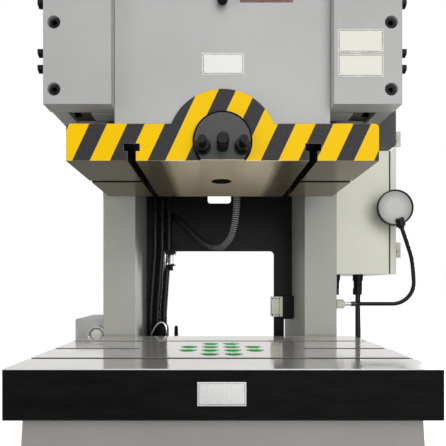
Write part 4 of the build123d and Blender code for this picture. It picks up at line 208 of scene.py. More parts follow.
class Graph:
    """A material with one principled shader, and short calls for the nodes that feed it."""

    def __init__(self, name, color, rough=0.5, metal=0.0):
        self.material = bpy.data.materials.new(name)
        self.material.use_nodes = True
        self.material.diffuse_color = (*color, 1)
        self.tree = self.material.node_tree
        self.shader = self.tree.nodes["Principled BSDF"]
        self.set("Base Color", color)
        self.set("Roughness", rough)
        self.set("Metallic", metal)

    def node(self, kind):
        return self.tree.nodes.new(kind)

    def feed(self, socket, value):
        """Links an output, or sets a plain value."""
        if isinstance(value, bpy.types.NodeSocket):
            self.tree.links.new(value, socket)
        elif isinstance(value, tuple):
            socket.default_value = (*value, 1)
        else:
            socket.default_value = value

    def set(self, name, value):
        self.feed(self.shader.inputs[name], value)

    def place(self):
        """The point on the surface, in the frame of the solids."""
        return self.node("ShaderNodeTexCoord").outputs["Object"]

    def axes(self):
        """The point's three numbers."""
        split = self.node("ShaderNodeSeparateXYZ")
        self.feed(split.inputs[0], self.place())
        return split.outputs

    def math(self, operation, a, b=0.0):
        node = self.node("ShaderNodeMath")
        node.operation = operation
        self.feed(node.inputs[0], a)
        self.feed(node.inputs[1], b)
        return node.outputs[0]

    def below(self, a, b):
        return self.math("LESS_THAN", a, b)

    def above(self, a, b):
        return self.math("GREATER_THAN", a, b)

    def both(self, a, b):
        return self.math("MULTIPLY", a, b)

    def either(self, a, b):
        return self.math("MAXIMUM", a, b)

    def near(self, a, centre, half):
        """One where a lies within half of centre."""
        return self.below(self.math("ABSOLUTE", self.math("SUBTRACT", a, centre)), half)

    def noise(self, scale, detail=3.0, stretch=(1, 1, 1)):
        """Noise that is drawn out along an axis whose stretch is small."""
        mapping = self.node("ShaderNodeMapping")
        mapping.inputs["Scale"].default_value = stretch
        self.feed(mapping.inputs["Vector"], self.place())
        node = self.node("ShaderNodeTexNoise")
        node.inputs["Scale"].default_value = scale
        node.inputs["Detail"].default_value = detail
        self.feed(node.inputs["Vector"], mapping.outputs[0])
        return node.outputs["Fac"]

    def spread(self, value, low, high):
        """Takes noise to the range from low to high."""
        node = self.node("ShaderNodeMapRange")
        for name, number in (("From Min", 0.3), ("From Max", 0.7), ("To Min", low), ("To Max", high)):
            node.inputs[name].default_value = number
        self.feed(node.inputs["Value"], value)
        return node.outputs["Result"]

    def ramp(self, value, start, end):
        """Rises from zero at start to one at end."""
        node = self.node("ShaderNodeMapRange")
        node.inputs["From Min"].default_value = start
        node.inputs["From Max"].default_value = end
        self.feed(node.inputs["Value"], value)
        return node.outputs["Result"]

    def edge(self, radius):
        """More than zero within radius of a sharp edge."""
        rounded = self.node("ShaderNodeBevel")
        rounded.samples = 4
        rounded.inputs["Radius"].default_value = radius
        dot = self.node("ShaderNodeVectorMath")
        dot.operation = "DOT_PRODUCT"
        self.feed(dot.inputs[0], rounded.outputs[0])
        self.feed(dot.inputs[1], self.node("ShaderNodeNewGeometry").outputs["Normal"])
        return self.ramp(self.math("SUBTRACT", 1.0, dot.outputs["Value"]), 0.02, 0.16)

    def mix(self, share, a, b):
        """A colour between a and b."""
        node = self.node("ShaderNodeMix")
        node.data_type = "RGBA"
        self.feed(node.inputs[MIX_SHARE], share)
        self.feed(node.inputs[MIX_COLORS[0]], a)
        self.feed(node.inputs[MIX_COLORS[1]], b)
        return node.outputs[MIX_COLOR]

    def between(self, share, a, b):
        """A number between a and b."""
        node = self.node("ShaderNodeMix")
        self.feed(node.inputs[MIX_SHARE], share)
        self.feed(node.inputs[MIX_NUMBERS[0]], a)
        self.feed(node.inputs[MIX_NUMBERS[1]], b)
        return node.outputs[MIX_NUMBER]

    def bump(self, height, strength, distance=0.001):
        node = self.node("ShaderNodeBump")
        node.inputs["Strength"].default_value = strength
        node.inputs["Distance"].default_value = distance
        self.feed(node.inputs["Height"], height)
        self.feed(self.shader.inputs["Normal"], node.outputs[0])


def scaled(color, factor):
    """A colour made lighter or darker."""
    return tuple(min(1.0, channel * factor) for channel in color)


def painted(graph, color, variation=0.05):
    """Clouded paint colour with fine specks."""
    cloud = graph.spread(graph.noise(CLOUDS), 0, 1)
    tone = graph.mix(cloud, scaled(color, 1 - variation), scaled(color, 1 + variation))
    speck = graph.above(graph.noise(SPECKS, 2.0), 0.68)
    return graph.mix(graph.both(speck, 0.35), tone, scaled(color, 0.72))


def worn(graph, tone, bare, radius=0.004):
    """Wears a coat through to what lies below, in patches along the edges."""
    patch = graph.spread(graph.noise(WEAR, 4.0), 0, 1)
    return graph.mix(graph.both(graph.edge(radius), patch), tone, bare)


def paint(name, color, rough=0.4, variation=0.05, bare=UNDERCOAT, specular=0.4):
    """Sprayed machine paint: slight clouding, specks, orange peel, and wear along the edges."""
    graph = Graph(name, color)
    graph.set("Base Color", worn(graph, painted(graph, color, variation), bare))
    graph.set("Roughness", graph.spread(graph.noise(SHEEN), rough - 0.02, rough + 0.03))
    graph.set("Specular IOR Level", specular)
    graph.bump(graph.noise(ORANGE_PEEL, 2.0), 0.06, 0.0006)
    return graph.material


def ground(graph, color, stretch=(0.05, 1, 1)):
    """The fine lines that a grinding wheel leaves."""
    lines = graph.noise(GRINDING, 4.0, stretch)
    return lines, graph.mix(graph.spread(lines, 0, 1), scaled(color, 0.88), scaled(color, 1.06))


def steel(name, color, rough=0.3, stretch=(0.05, 1, 1)):
    """Machined or ground metal, rubbed brighter along its edges."""
    graph = Graph(name, color, metal=1.0)
    lines, tone = ground(graph, color, stretch)
    graph.set("Base Color", worn(graph, tone, scaled(color, 1.7), 0.002))
    graph.set("Roughness", graph.spread(lines, rough - 0.06, rough + 0.08))
    graph.bump(lines, 0.05, 0.0004)
    return graph.material


def cast(name, color):
    """Rough cast metal."""
    graph = Graph(name, color, metal=0.7)
    grain = graph.noise(260.0, 5.0)
    graph.set("Base Color", graph.mix(graph.spread(grain, 0, 1), scaled(color, 0.75), scaled(color, 1.2)))
    graph.set("Roughness", graph.spread(graph.noise(30.0), 0.45, 0.65))
    graph.bump(grain, 0.25, 0.0008)
    return graph.material


def plastic(name, color, rough=0.4, grain=0.08, specular=0.5):
    """Moulded plastic or rubber with a fine grain, paler where its edges are rubbed."""
    graph = Graph(name, color)
    tone = graph.mix(graph.spread(graph.noise(9.0), 0, 1), scaled(color, 0.9), scaled(color, 1.1))
    graph.set("Base Color", worn(graph, tone, scaled(color, 1.5), 0.002))
    graph.set("Roughness", graph.spread(graph.noise(40.0), rough - 0.06, rough + 0.08))
    graph.set("Specular IOR Level", specular)
    graph.bump(graph.noise(MOULD_GRAIN, 2.0), grain, 0.0004)
    return graph.material


def conduit_with_painted_shade(name, color, shaded_color):
    """Conduit plastic, painted lighter near the slide and darker with painted shade towards the rear guard.
    """
    graph = Graph(name, color)
    _, y, _ = graph.axes()
    # lighter near the slide, dark towards the rear guard: painted shade
    away = graph.ramp(y, CONDUIT_TOP[1] + CONDUIT_LIT_END, CONDUIT_TOP[1] + CONDUIT_SHADE_FULL)
    tone = graph.mix(away, color, shaded_color)
    cloud = graph.spread(graph.noise(45.0), 0, 1)
    graph.set("Base Color", graph.mix(graph.both(cloud, 0.3), tone, shaded_color))
    graph.set("Roughness", graph.spread(graph.noise(60.0), 0.36, 0.5))
    graph.set("Specular IOR Level", 0.3)
    graph.bump(graph.noise(MOULD_GRAIN, 2.0), 0.08, 0.0004)
    return graph.material


def clear(name, color, rough):
    """Clear or frosted moulded glass."""
    graph = Graph(name, color)
    graph.set("Transmission Weight", 1.0)
    graph.set("IOR", 1.46)
    graph.set("Roughness", graph.spread(graph.noise(60.0), rough, rough + 0.08))
    graph.set("Base Color", graph.mix(graph.noise(25.0), scaled(color, 0.94), color))
    return graph.material


def lens_coat(name, color, centre, radius):
    """A frosted disc, darker towards its rim with painted shade, with a black seal and faint moulded rings.
    """
    graph = Graph(name, color)
    distance, _ = polar(graph, *centre)
    # darker towards the rim: painted shade
    rim = graph.ramp(distance, radius * 0.45, radius)
    frost = graph.mix(graph.spread(graph.noise(160.0, 3.0), 0, 1), scaled(color, 0.94), scaled(color, 1.04))
    tone = graph.mix(rim, frost, scaled(color, 0.55))
    seal = graph.above(distance, radius - LENS_SEAL)
    graph.set("Base Color", graph.mix(seal, tone, SEAL_AND_SHADE_BLACK))
    graph.set("Roughness", graph.spread(graph.noise(90.0), 0.28, 0.42))
    graph.set("Specular IOR Level", 0.4)
    rings = graph.math("SINE", graph.both(distance, LENS_RINGS))
    graph.bump(rings, 0.12, 0.0006)
    return graph.material


def clamp_coat(dark, bare):
    """The shank clamp: dark casting, ground underside with a tan partly painted as reflection, and a bore
    and face ring painted black as shade.
    """
    graph = Graph("clamp_coat", dark)
    x, y, z = graph.axes()
    grain = graph.noise(240.0, 4.0)
    casting = graph.mix(graph.spread(grain, 0, 1), scaled(dark, 0.82), scaled(dark, 1.2))
    under = graph.below(z, SLIDE_BOTTOM + EDGE)
    # the underside's tan is partly painted reflection
    _, metal_and_reflection_tone = ground(graph, bare)
    off = graph.math("SUBTRACT", y, SLIDE_AXIS)
    square = graph.math("ADD", graph.both(x, x), graph.both(off, off))
    # the bore is painted black as shade
    inside = graph.below(graph.math("SQRT", square), SHANK_RADIUS)
    bore = graph.both(inside, graph.above(z, SLIDE_BOTTOM + EDGE))
    tone = graph.mix(under, worn(graph, casting, scaled(dark, 2.2), 0.003), metal_and_reflection_tone)
    # a black ring round the clamp's face: painted shadow of the gap round it
    distance, _ = polar(graph, 0.0, CLAMP_Z)
    rim = graph.both(graph.above(distance, CLAMP_RIM), graph.above(z, SLIDE_BOTTOM + EDGE))
    graph.set("Base Color", graph.mix(graph.either(bore, rim), tone, SHADE_BLACK))
    graph.set("Metallic", graph.both(under, GROUND_SHINE))
    graph.set("Roughness", graph.between(under, 0.5, 0.26))
    graph.set("Specular IOR Level", graph.between(rim, 0.3, 0.02))
    graph.bump(grain, 0.08, 0.0006)
    return graph.material


def slanted_bands(graph, yellow, charcoal):
    """Bands of gritty charcoal and yellow paint that lean to the right as they rise."""
    x, _, z = graph.axes()
    rise = graph.math("SUBTRACT", z, SLIDE_BOTTOM)
    lean = graph.math("SUBTRACT", x, graph.both(rise, BAND_LEAN))
    shifted = graph.math("ADD", lean, BAND_SHIFT)
    phase = graph.math("FRACT", graph.math("DIVIDE", shifted, BAND_PITCH))
    grain = graph.spread(graph.noise(330.0, 3.0), 0, 1)
    grit = graph.mix(grain, scaled(charcoal, 0.7), scaled(charcoal, 1.35))
    return graph.mix(graph.below(phase, BAND_SHARE), grit, painted(graph, yellow, 0.03))


def slide_hollow_shade(graph):
    """One inside the slide's T-slots and in the clamp's seat, where black is painted as shade."""
    x, y, z = graph.axes()
    across = graph.math("ABSOLUTE", x)
    slot = graph.near(across, SLIDE_SLOT_OFFSET, SLOT_HALF)
    side = graph.both(graph.near(y, SLIDE_AXIS, SLOT_HALF), graph.above(across, SLIDE_SLOT_OFFSET))
    inside = graph.both(graph.below(z, SLIDE_BOTTOM + SLOT_DEPTH), graph.above(y, FLANGE_FRONT + EDGE))
    distance, _ = polar(graph, 0.0, CLAMP_Z)
    seat = graph.below(distance, CLAMP_RING)
    hollow = graph.either(graph.both(graph.either(slot, side), inside), seat)
    return graph.both(hollow, graph.above(z, SLIDE_BOTTOM + EDGE))


def slide_coat(color, yellow, charcoal, bare):
    """The slide: grey paint, banded front of the flange, ground metal below with a painted tan and darker
    sides for reflections, and T-slots and clamp seat painted black as shade.
    """
    graph = Graph("slide_coat", color)
    x, y, z = graph.axes()
    front = graph.below(y, FLANGE_FRONT + BAND_DEPTH)
    under = graph.below(z, SLIDE_BOTTOM + EDGE)
    # the underside's tan is partly painted reflection
    _, metal_and_reflection_tone = ground(graph, bare)
    across = graph.math("ABSOLUTE", x)
    # darker towards the sides: painted reflection of the dark columns and hoses
    dark_reflection = graph.ramp(across, SLIDE_SLOT_OFFSET - DARK_REFLECTION_START, SLIDE_SLOT_OFFSET - DARK_REFLECTION_FULL)
    metal_and_reflection_tone = graph.mix(dark_reflection, metal_and_reflection_tone, scaled(bare, 0.25))
    tone = graph.mix(front, painted(graph, color), slanted_bands(graph, yellow, charcoal))
    tone = graph.mix(under, worn(graph, tone, UNDERCOAT), metal_and_reflection_tone)
    # the hollows are painted black as shade
    graph.set("Base Color", graph.mix(slide_hollow_shade(graph), tone, SEAL_AND_SHADE_BLACK))
    graph.set("Metallic", graph.both(under, GROUND_SHINE))
    graph.set("Roughness", graph.between(under, graph.spread(graph.noise(SHEEN), 0.38, 0.43), 0.22))
    graph.set("Specular IOR Level", graph.between(front, 0.3, 0.1))
    graph.bump(graph.noise(ORANGE_PEEL, 2.0), 0.06, 0.0006)
    return graph.material


def table_coat(bare, black):
    """The table: ground top, black sides and T-slots."""
    graph = Graph("table_coat", bare)
    _, _, z = graph.axes()
    top = graph.above(z, TABLE_TOP - TABLE_SKIN)
    _, tone = ground(graph, bare, (0.03, 1, 1))
    stain = graph.spread(graph.noise(5.0, 4.0), 0, 1)
    tone = graph.mix(stain, tone, graph.mix(0.2, tone, (0.5, 0.45, 0.38)))
    scuffed = graph.mix(graph.spread(graph.noise(60.0, 4.0, (0.2, 1, 1)), 0, 1), black, scaled(black, 2.2))
    graph.set("Base Color", graph.mix(top, worn(graph, scuffed, (0.12, 0.12, 0.12)), tone))
    graph.set("Specular IOR Level", 0.05)
    graph.set("Metallic", graph.both(top, 0.6))
    gloss = graph.spread(graph.noise(26.0, 4.0, (0.3, 1, 1)), 0.08, 0.14)
    graph.set("Roughness", graph.between(top, 0.42, gloss))
    graph.bump(graph.noise(500.0, 3.0, (0.08, 1, 1)), 0.03, 0.0004)
    return graph.material


def plug_coat(color):
    """Green plugs: a paler, mottled rim top and a cup painted darker towards its bottom as shade."""
    graph = Graph("plug_green", color)
    _, _, z = graph.axes()
    rim = graph.above(z, TABLE_TOP - PLUG_SINK - EDGE)
    # darker towards the cup's bottom: painted shade
    cup = graph.ramp(z, TABLE_TOP - PLUG_SINK - PLUG_CUP, TABLE_TOP - PLUG_SINK)
    inner = graph.mix(cup, scaled(color, 0.35), color)
    pale = graph.mix(graph.spread(graph.noise(70.0), 0, 1), color, (0.45, 0.72, 0.42))
    graph.set("Base Color", graph.mix(rim, inner, pale))
    graph.set("Roughness", graph.spread(graph.noise(80.0), 0.3, 0.45))
    graph.bump(graph.noise(600.0, 2.0), 0.05, 0.0004)
    return graph.material


def corners(name):
    """The lowest and the highest corner of a solid's box."""
    box = NODES[name].bound_box
    return Vector(box[0]), Vector(box[6])


def disc(name):
    """The middle, in X and Z, and the radius of a solid that is round about Y."""
    low, high = corners(name)
    return ((low.x + high.x) / 2, (low.z + high.z) / 2), (high.x - low.x) / 2


def polar(graph, centre_x, centre_z):
    """Distance from an axis along Y, and the turn round it as a share of a whole turn."""
    x, _, z = graph.axes()
    dx = graph.math("SUBTRACT", x, centre_x)
    dz = graph.math("SUBTRACT", z, centre_z)
    square = graph.math("ADD", graph.both(dx, dx), graph.both(dz, dz))
    turn = graph.math("DIVIDE", graph.math("ARCTAN2", dx, dz), 2 * math.pi)
    return graph.math("SQRT", square), graph.math("ADD", turn, 1.0)


def dial_coat(name, centre, face, marks, bands, rest, seal):
    """A round scale: ticks between the two radii of bands, then a ring of seal, then metal."""
    graph = Graph(name, face, rough=0.35)
    radius, turn = polar(graph, *centre)
    phase = graph.math("FRACT", graph.math("ADD", graph.both(turn, float(marks)), 0.5))
    tick = graph.near(phase, 0.5, 0.09)
    ring = graph.both(graph.above(radius, bands[0]), graph.below(radius, bands[1]))
    speckled = graph.mix(graph.noise(300.0), scaled(face, 0.94), face)
    tone = graph.mix(graph.both(tick, ring), speckled, (0.03, 0.03, 0.03))
    outside = graph.above(radius, rest)
    tone = graph.mix(outside, tone, (0.62, 0.62, 0.62))
    graph.set("Base Color", graph.mix(graph.near(radius, rest, rest * 0.11), tone, seal))
    graph.set("Metallic", outside)
    graph.set("Roughness", graph.spread(graph.noise(50.0), 0.22, 0.36))
    return graph.material


def lamp_base_coat():
    """The light's foot, along X: black flange, cream collar, bright stem, dark ferrule."""
    graph = Graph("lamp_base_coat", (0.7, 0.68, 0.6))
    x, _, _ = graph.axes()
    grain = graph.spread(graph.noise(120.0), 0, 1)
    cream = graph.mix(grain, (0.62, 0.6, 0.52), (0.76, 0.74, 0.66))
    bright = graph.mix(grain, (0.42, 0.41, 0.42), (0.58, 0.57, 0.58))
    collar = graph.above(x, LAMP_FLANGE_END - EDGE)
    stem = graph.above(x, LAMP_COLLAR_END - EDGE)
    ferrule = graph.above(x, LAMP_STEM_END - EDGE)
    tone = graph.mix(collar, (0.015, 0.015, 0.015), cream)
    tone = graph.mix(stem, tone, bright)
    graph.set("Base Color", graph.mix(ferrule, tone, (0.06, 0.06, 0.065)))
    graph.set("Metallic", stem)
    graph.set("Roughness", graph.spread(grain, 0.3, 0.45))
    return graph.material


GREY = paint("machine_grey", (0.44, 0.44, 0.435))
# Darker copy of the machine grey for the columns: painted shade under the upper jaw
SHADED_COLUMN_GREY = paint("column_grey_shaded", (0.405, 0.407, 0.375))
# Darker, warmer copy of the machine grey for the bed: its darkness is painted shade under the table
SHADED_BASE_GREY = paint("base_grey_shaded", (0.33, 0.315, 0.30))
# Near-black copy of the grey paint for the lube cover: painted shade under the jaw
SHADED_COVER_GREY = paint("cover_grey_shaded", (0.055, 0.055, 0.055), 0.45, 0.05, (0.2, 0.2, 0.2), 0.2)
CABINET = paint("cabinet_cream", (0.80, 0.80, 0.70), 0.36, 0.02, (0.55, 0.54, 0.50))
BLACK = paint("satin_black", (0.014, 0.014, 0.014), 0.38, 0.2, (0.05, 0.05, 0.05), 0.1)
RED = paint("pointer_red", (0.55, 0.04, 0.03))
MOTOR = paint("motor_grey", (0.20, 0.23, 0.25))
BRIGHT = steel("turned_steel", (0.58, 0.57, 0.55), 0.24)
OXIDE = steel("black_oxide", (0.016, 0.016, 0.017), 0.42)
BRONZE = steel("bearing_bronze", (0.55, 0.38, 0.16), 0.34)
# Near-black bronze for the gib liners: painted shade under the guides
SHADED_BRONZE = steel("shaded_bronze", (0.055, 0.044, 0.03), 0.40)
IRON = cast("cast_iron", (0.16, 0.16, 0.17))
ALUMINIUM = steel("turned_aluminium", (0.72, 0.73, 0.74), 0.32)
ZINC = cast("zinc_casting", (0.44, 0.42, 0.37))
PIPE = steel("bright_pipe", (0.75, 0.75, 0.74), 0.25)
PLAQUE = paint("plaque_red", (0.20, 0.055, 0.04), 0.4, 0.08)
RUBBER = plastic("black_rubber", (0.011, 0.011, 0.011), 0.27, 0.12, 0.25)
SHELL = plastic("black_plastic", (0.007, 0.007, 0.008), 0.36, 0.08, 0.1)
GLOSS = plastic("gloss_black", (0.006, 0.006, 0.006), 0.2, 0.02, 0.15)
PALE = plastic("cream_plastic", (0.72, 0.69, 0.58), 0.42)
SWITCH_PALE = plastic("switch_cream", (0.82, 0.83, 0.70), 0.42)
RED_GRIP = plastic("red_plastic", (0.55, 0.03, 0.025), 0.3)
# Lit and shaded copies of the conduit's plastic: pale crests are painted light, dark valleys are painted
# shade
LIT_RIDGE = conduit_with_painted_shade("conduit_ridge_lit", (0.42, 0.42, 0.40), (0.03, 0.03, 0.03))
SHADED_VALLEY = conduit_with_painted_shade("conduit_valley_shaded", (0.03, 0.03, 0.03), (0.012, 0.012, 0.012))
BOWL = clear("clear_bowl", (0.92, 0.94, 0.94), 0.04)
LENS = lens_coat("frosted_lens", (0.62, 0.62, 0.60), *disc("lamp_lens"))
SLIDE_COAT = slide_coat((0.48, 0.48, 0.475), (1.0, 0.61, 0.0), (0.040, 0.038, 0.041), GROUND_METAL_AND_REFLECTION_TAN)
CLAMP_COAT = clamp_coat((0.062, 0.062, 0.063), GROUND_METAL_AND_REFLECTION_TAN)
TABLE_COAT = table_coat((0.82, 0.81, 0.79), (0.0035, 0.0035, 0.0035))
PLUG = plug_coat((0.05, 0.58, 0.10))
DEGREE_DIAL = dial_coat(
    "degree_dial", (0, CRANK_Z), (0.7, 0.7, 0.68), 36, (0.106, 0.124), 0.128, (0.2, 0.2, 0.2)
)
GAUGE_DIAL = dial_coat(
    "gauge_dial", GAUGE_CENTRE, (0.80, 0.80, 0.77), 20, (0.018, 0.023), 0.028, (0.20, 0.15, 0.10)
)
LAMP_BASE = lamp_base_coat()
PLATE_METAL = steel("plate_metal", (0.62, 0.62, 0.61), 0.36, (1, 1, 0.05))
PLATE_WHITE = paint("plate_white", (0.84, 0.84, 0.83), 0.4, 0.02)
PLATE_CREAM = paint("plate_cream", (0.80, 0.79, 0.72), 0.4, 0.02)
PLATE_LINE = paint("plate_line", (0.05, 0.05, 0.05), 0.5)

# Each material with the solids that wear it
LOOKS = {
    GREY: "crown_front_plate gib_plate_right gib_plate_left flywheel_guard air_box",
    SHADED_COLUMN_GREY: "side_frame_right side_frame_left crown_plates",
    SHADED_BASE_GREY: "bed_plates",
    SHADED_COVER_GREY: "lube_cover",
    CABINET: "cabinet_box cabinet_door junction_box",
    BLACK: "rear_guard",
    RED: "angle_pointer",
    MOTOR: "motor motor_fan_cover",
    BRIGHT: "crankshaft balance_rods",
    OXIDE: "gib_plate_screws gib_adjusters clamp_screws conduit_boss",
    ZINC: "latch_lower latch_upper",
    CLAMP_COAT: "shank_clamp",
    BRONZE: "crank_bushes ball_cup",
    SHADED_BRONZE: "gib_liners",
    IRON: "conrod conrod_cap flywheel clutch motor_pulley",
    ALUMINIUM: "balance_cylinders",
    RUBBER: "drive_belt door_seal cabinet_cable air_hoses",
    SHELL: "adjust_lever limit_switch_body regulator valve_lever lamp_head air_manifolds cable_glands",
    GLOSS: "lamp_gooseneck",
    PALE: "control_devices",
    SWITCH_PALE: "limit_switch_cover",
    RED_GRIP: "main_switch",
    BOWL: "regulator_bowl",
    LENS: "lamp_lens",
    SLIDE_COAT: "slide",
    TABLE_COAT: "bolster",
    PLUG: "pin_hole_plugs",
    DEGREE_DIAL: "angle_dial",
    GAUGE_DIAL: "pressure_gauge",
    LAMP_BASE: "lamp_base",
}

# Widths of rounded edges, with the solids that have them
ROUNDED = {
    0.002: "side_frame_right side_frame_left bed_plates crown_plates crown_front_plate junction_box air_box",
    0.0015: "rear_guard cabinet_box cabinet_door lube_cover",
    0.0008: (
        "slide shank_clamp clamp_screws gib_plate_screws gib_adjusters limit_switch_body limit_switch_cover "
        "regulator valve_lever latch_lower latch_upper main_switch cable_glands air_manifolds conduit_boss "
        "control_devices pressure_gauge motor flywheel motor_pulley clutch angle_dial angle_pointer "
        "pin_hole_plugs"
    ),
}


def dress_solids():
    """Gives every solid its material, and rounds the edges of the sharp ones."""
    for material, names in LOOKS.items():
        for name in names.split():
            for slot in NODES[name].material_slots:
                slot.material = material
    for width, names in ROUNDED.items():
        for name in names.split():
            weld = NODES[name].modifiers.new("weld", "WELD")
            weld.merge_threshold = WELD_GAP
            bevel = NODES[name].modifiers.new("bevel", "BEVEL")
            bevel.width = width
            bevel.segments = BEVEL_SEGMENTS
            bevel.limit_method = "ANGLE"
            bevel.angle_limit = BEVEL_ANGLE
            NODES[name].modifiers.new("normals", "WEIGHTED_NORMAL")


# Pieces with a mesh of their own


def finish_piece(name, mesh, materials, body):
    """Turns a built mesh into a piece that rides on a body."""
    data = bpy.data.meshes.new(name)
    mesh.to_mesh(data)
    mesh.free()
    for material in materials:
        data.materials.append(material)
    piece = bpy.data.objects.new(name, data)
    bpy.context.scene.collection.objects.link(piece)
    if body:
        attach(piece, body)
    return piece


def slab(mesh, low, high, index, round_by):
    """A box between two corners with rounded edges."""
    start = len(mesh.faces)
    made = bmesh.ops.create_cube(mesh, size=1.0)["verts"]
    for vert in made:
        vert.co = Vector(high[i] if vert.co[i] > 0 else low[i] for i in range(3))
    edges = list({edge for vert in made for edge in vert.link_edges})
    bmesh.ops.bevel(
        mesh, geom=edges, offset=round_by, segments=BEVEL_SEGMENTS, affect="EDGES", profile=0.5
    )
    mesh.faces.ensure_lookup_table()
    for face in mesh.faces[start:]:
        face.material_index = index


def dome(mesh, centre, radius, rise, index, sides=16, rings=4):
    """A rivet head that stands towards -Y from its centre."""
    rows = []
    for ring in range(rings):
        angle = ring / rings * math.pi / 2
        rows.append([
            mesh.verts.new(centre + Vector((
                radius * math.cos(angle) * math.cos(2 * math.pi * i / sides),
                -rise * math.sin(angle),
                radius * math.cos(angle) * math.sin(2 * math.pi * i / sides),
            )))
            for i in range(sides)
        ])
    tip = mesh.verts.new(centre + Vector((0, -rise, 0)))
    for low, high in zip(rows, rows[1:]):
        for i in range(sides):
            j = (i + 1) % sides
            face = mesh.faces.new((low[i], low[j], high[j], high[i]))
            face.material_index = index
            face.smooth = True
    for i in range(sides):
        face = mesh.faces.new((rows[-1][i], rows[-1][(i + 1) % sides], tip))
        face.material_index = index
        face.smooth = True


def inset(span, margin):
    """A span with a margin taken off at both ends."""
    return span[0] + margin, span[1] - margin


def border(mesh, x, z, front):
    """A thin raised line round the plate, inside its edge."""
    (left, right), (low, high) = inset(x, LINE_INSET), inset(z, LINE_INSET)
    bars = (
        ((left, low), (right, low + LINE_WIDTH)),
        ((left, high - LINE_WIDTH), (right, high)),
        ((left, low), (left + LINE_WIDTH, high)),
        ((right - LINE_WIDTH, low), (right, high)),
    )
    for start, end in bars:
        near = (start[0], front - LINE_RISE, start[1])
        far = (end[0], front + LINE_SINK, end[1])
        slab(mesh, near, far, 1, LINE_ROUNDING)


def bare_plate(name, body, spans, face, material, thick=PLATE_THICK):
    """A blank plate on a front face: a rounded slab, a border line and four rivets."""
    x, z = spans
    front = face - thick
    mesh = bmesh.new()
    slab(mesh, (x[0], front, z[0]), (x[1], face, z[1]), 0, PLATE_ROUNDING)
    border(mesh, x, z, front)
    for at_x in inset(x, RIVET_INSET):
        for at_z in inset(z, RIVET_INSET):
            dome(mesh, Vector((at_x, front, at_z)), RIVET_RADIUS, RIVET_RISE, 2)
    finish_piece(name, mesh, (material, PLATE_LINE, BRIGHT), body)


def make_plates():
    """The blank plates on the table, the slide and the right-hand guide plate."""
    bare_plate("table_plate", "frame", TABLE_PLATE, TABLE_FRONT, PLATE_METAL)
    bare_plate("slide_plate", "slide", SLIDE_PLATE, BODY_FRONT, PLATE_WHITE)
    bare_plate("slide_plaque", "slide", SLIDE_PLAQUE, BODY_FRONT, PLAQUE, PLAQUE_THICK)
    bare_plate("guide_plate_upper", "frame", GUIDE_PLATE_UPPER, GUIDE_FRONT, PLATE_CREAM)
    bare_plate("guide_plate_lower", "frame", GUIDE_PLATE_LOWER, GUIDE_FRONT, PLATE_CREAM)


def make_cover_screws():
    """Six small screw heads in two rows on the limit switch's cover."""
    low, high = corners("limit_switch_cover")
    mesh = bmesh.new()
    for share in COVER_SCREW_SHARES:
        at_x = low.x + (high.x - low.x) * share
        for at_z in inset((low.z, high.z), COVER_SCREW_INSET):
            centre = Vector((at_x, low.y + COVER_SCREW_SINK, at_z))
            dome(mesh, centre, COVER_SCREW_RADIUS, COVER_SCREW_RISE, 0, sides=12, rings=3)
    finish_piece("cover_screws", mesh, (SHELL,), "frame")


def spline_points(points):
    """Points along the smooth line that a row of points steers."""
    curve = bpy.data.curves.new("route", "CURVE")
    curve.dimensions = "3D"
    spline = curve.splines.new("NURBS")
    spline.points.add(len(points) - 1)
    for target, point in zip(spline.points, points):
        target.co = (*point, 1)
    spline.order_u = ROUTE_ORDER
    spline.use_endpoint_u = True
    spline.resolution_u = ROUTE_STEPS
    holder = bpy.data.objects.new("route", curve)
    line = bpy.data.meshes.new_from_object(holder)
    found = [vert.co.copy() for vert in line.vertices]
    bpy.data.objects.remove(holder)
    bpy.data.meshes.remove(line)
    return found


def stations(line, step):
    """Places and directions along a line, one for every step of its length."""
    made = []
    run, wanted = 0.0, 0.0
    for start, end in zip(line, line[1:]):
        length = (end - start).length
        while wanted <= run + length:
            made.append((start.lerp(end, (wanted - run) / length), (end - start).normalized()))
            wanted += step
        run += length
    return made


def tube_ring(mesh, place, direction, side, radius):
    """One ring of a tube's points."""
    other = direction.cross(side)
    turns = [2 * math.pi * i / TUBE_SIDES for i in range(TUBE_SIDES)]
    return [mesh.verts.new(place + (side * math.cos(t) + other * math.sin(t)) * radius) for t in turns]


def join_rings(mesh, before, ring):
    """The smooth faces between two rings of a tube."""
    made = []
    for i in range(TUBE_SIDES):
        j = (i + 1) % TUBE_SIDES
        face = mesh.faces.new((before[i], before[j], ring[j], ring[i]))
        face.smooth = True
        made.append(face)
    return made


def make_pilot_pipe():
    """The thin bright pipe that loops over the pressure switch."""
    line = spline_points([Vector(point) for point in PIPE_ROUTE])
    mesh = bmesh.new()
    before, side = None, Vector((0, 1, 0))
    for place, direction in stations(line, PIPE_STEP):
        side = (side - direction * side.dot(direction)).normalized()
        ring = tube_ring(mesh, place, direction, side, PIPE_RADIUS)
        if before:
            join_rings(mesh, before, ring)
        before = ring
    finish_piece("pilot_pipe", mesh, (PIPE,), "frame")


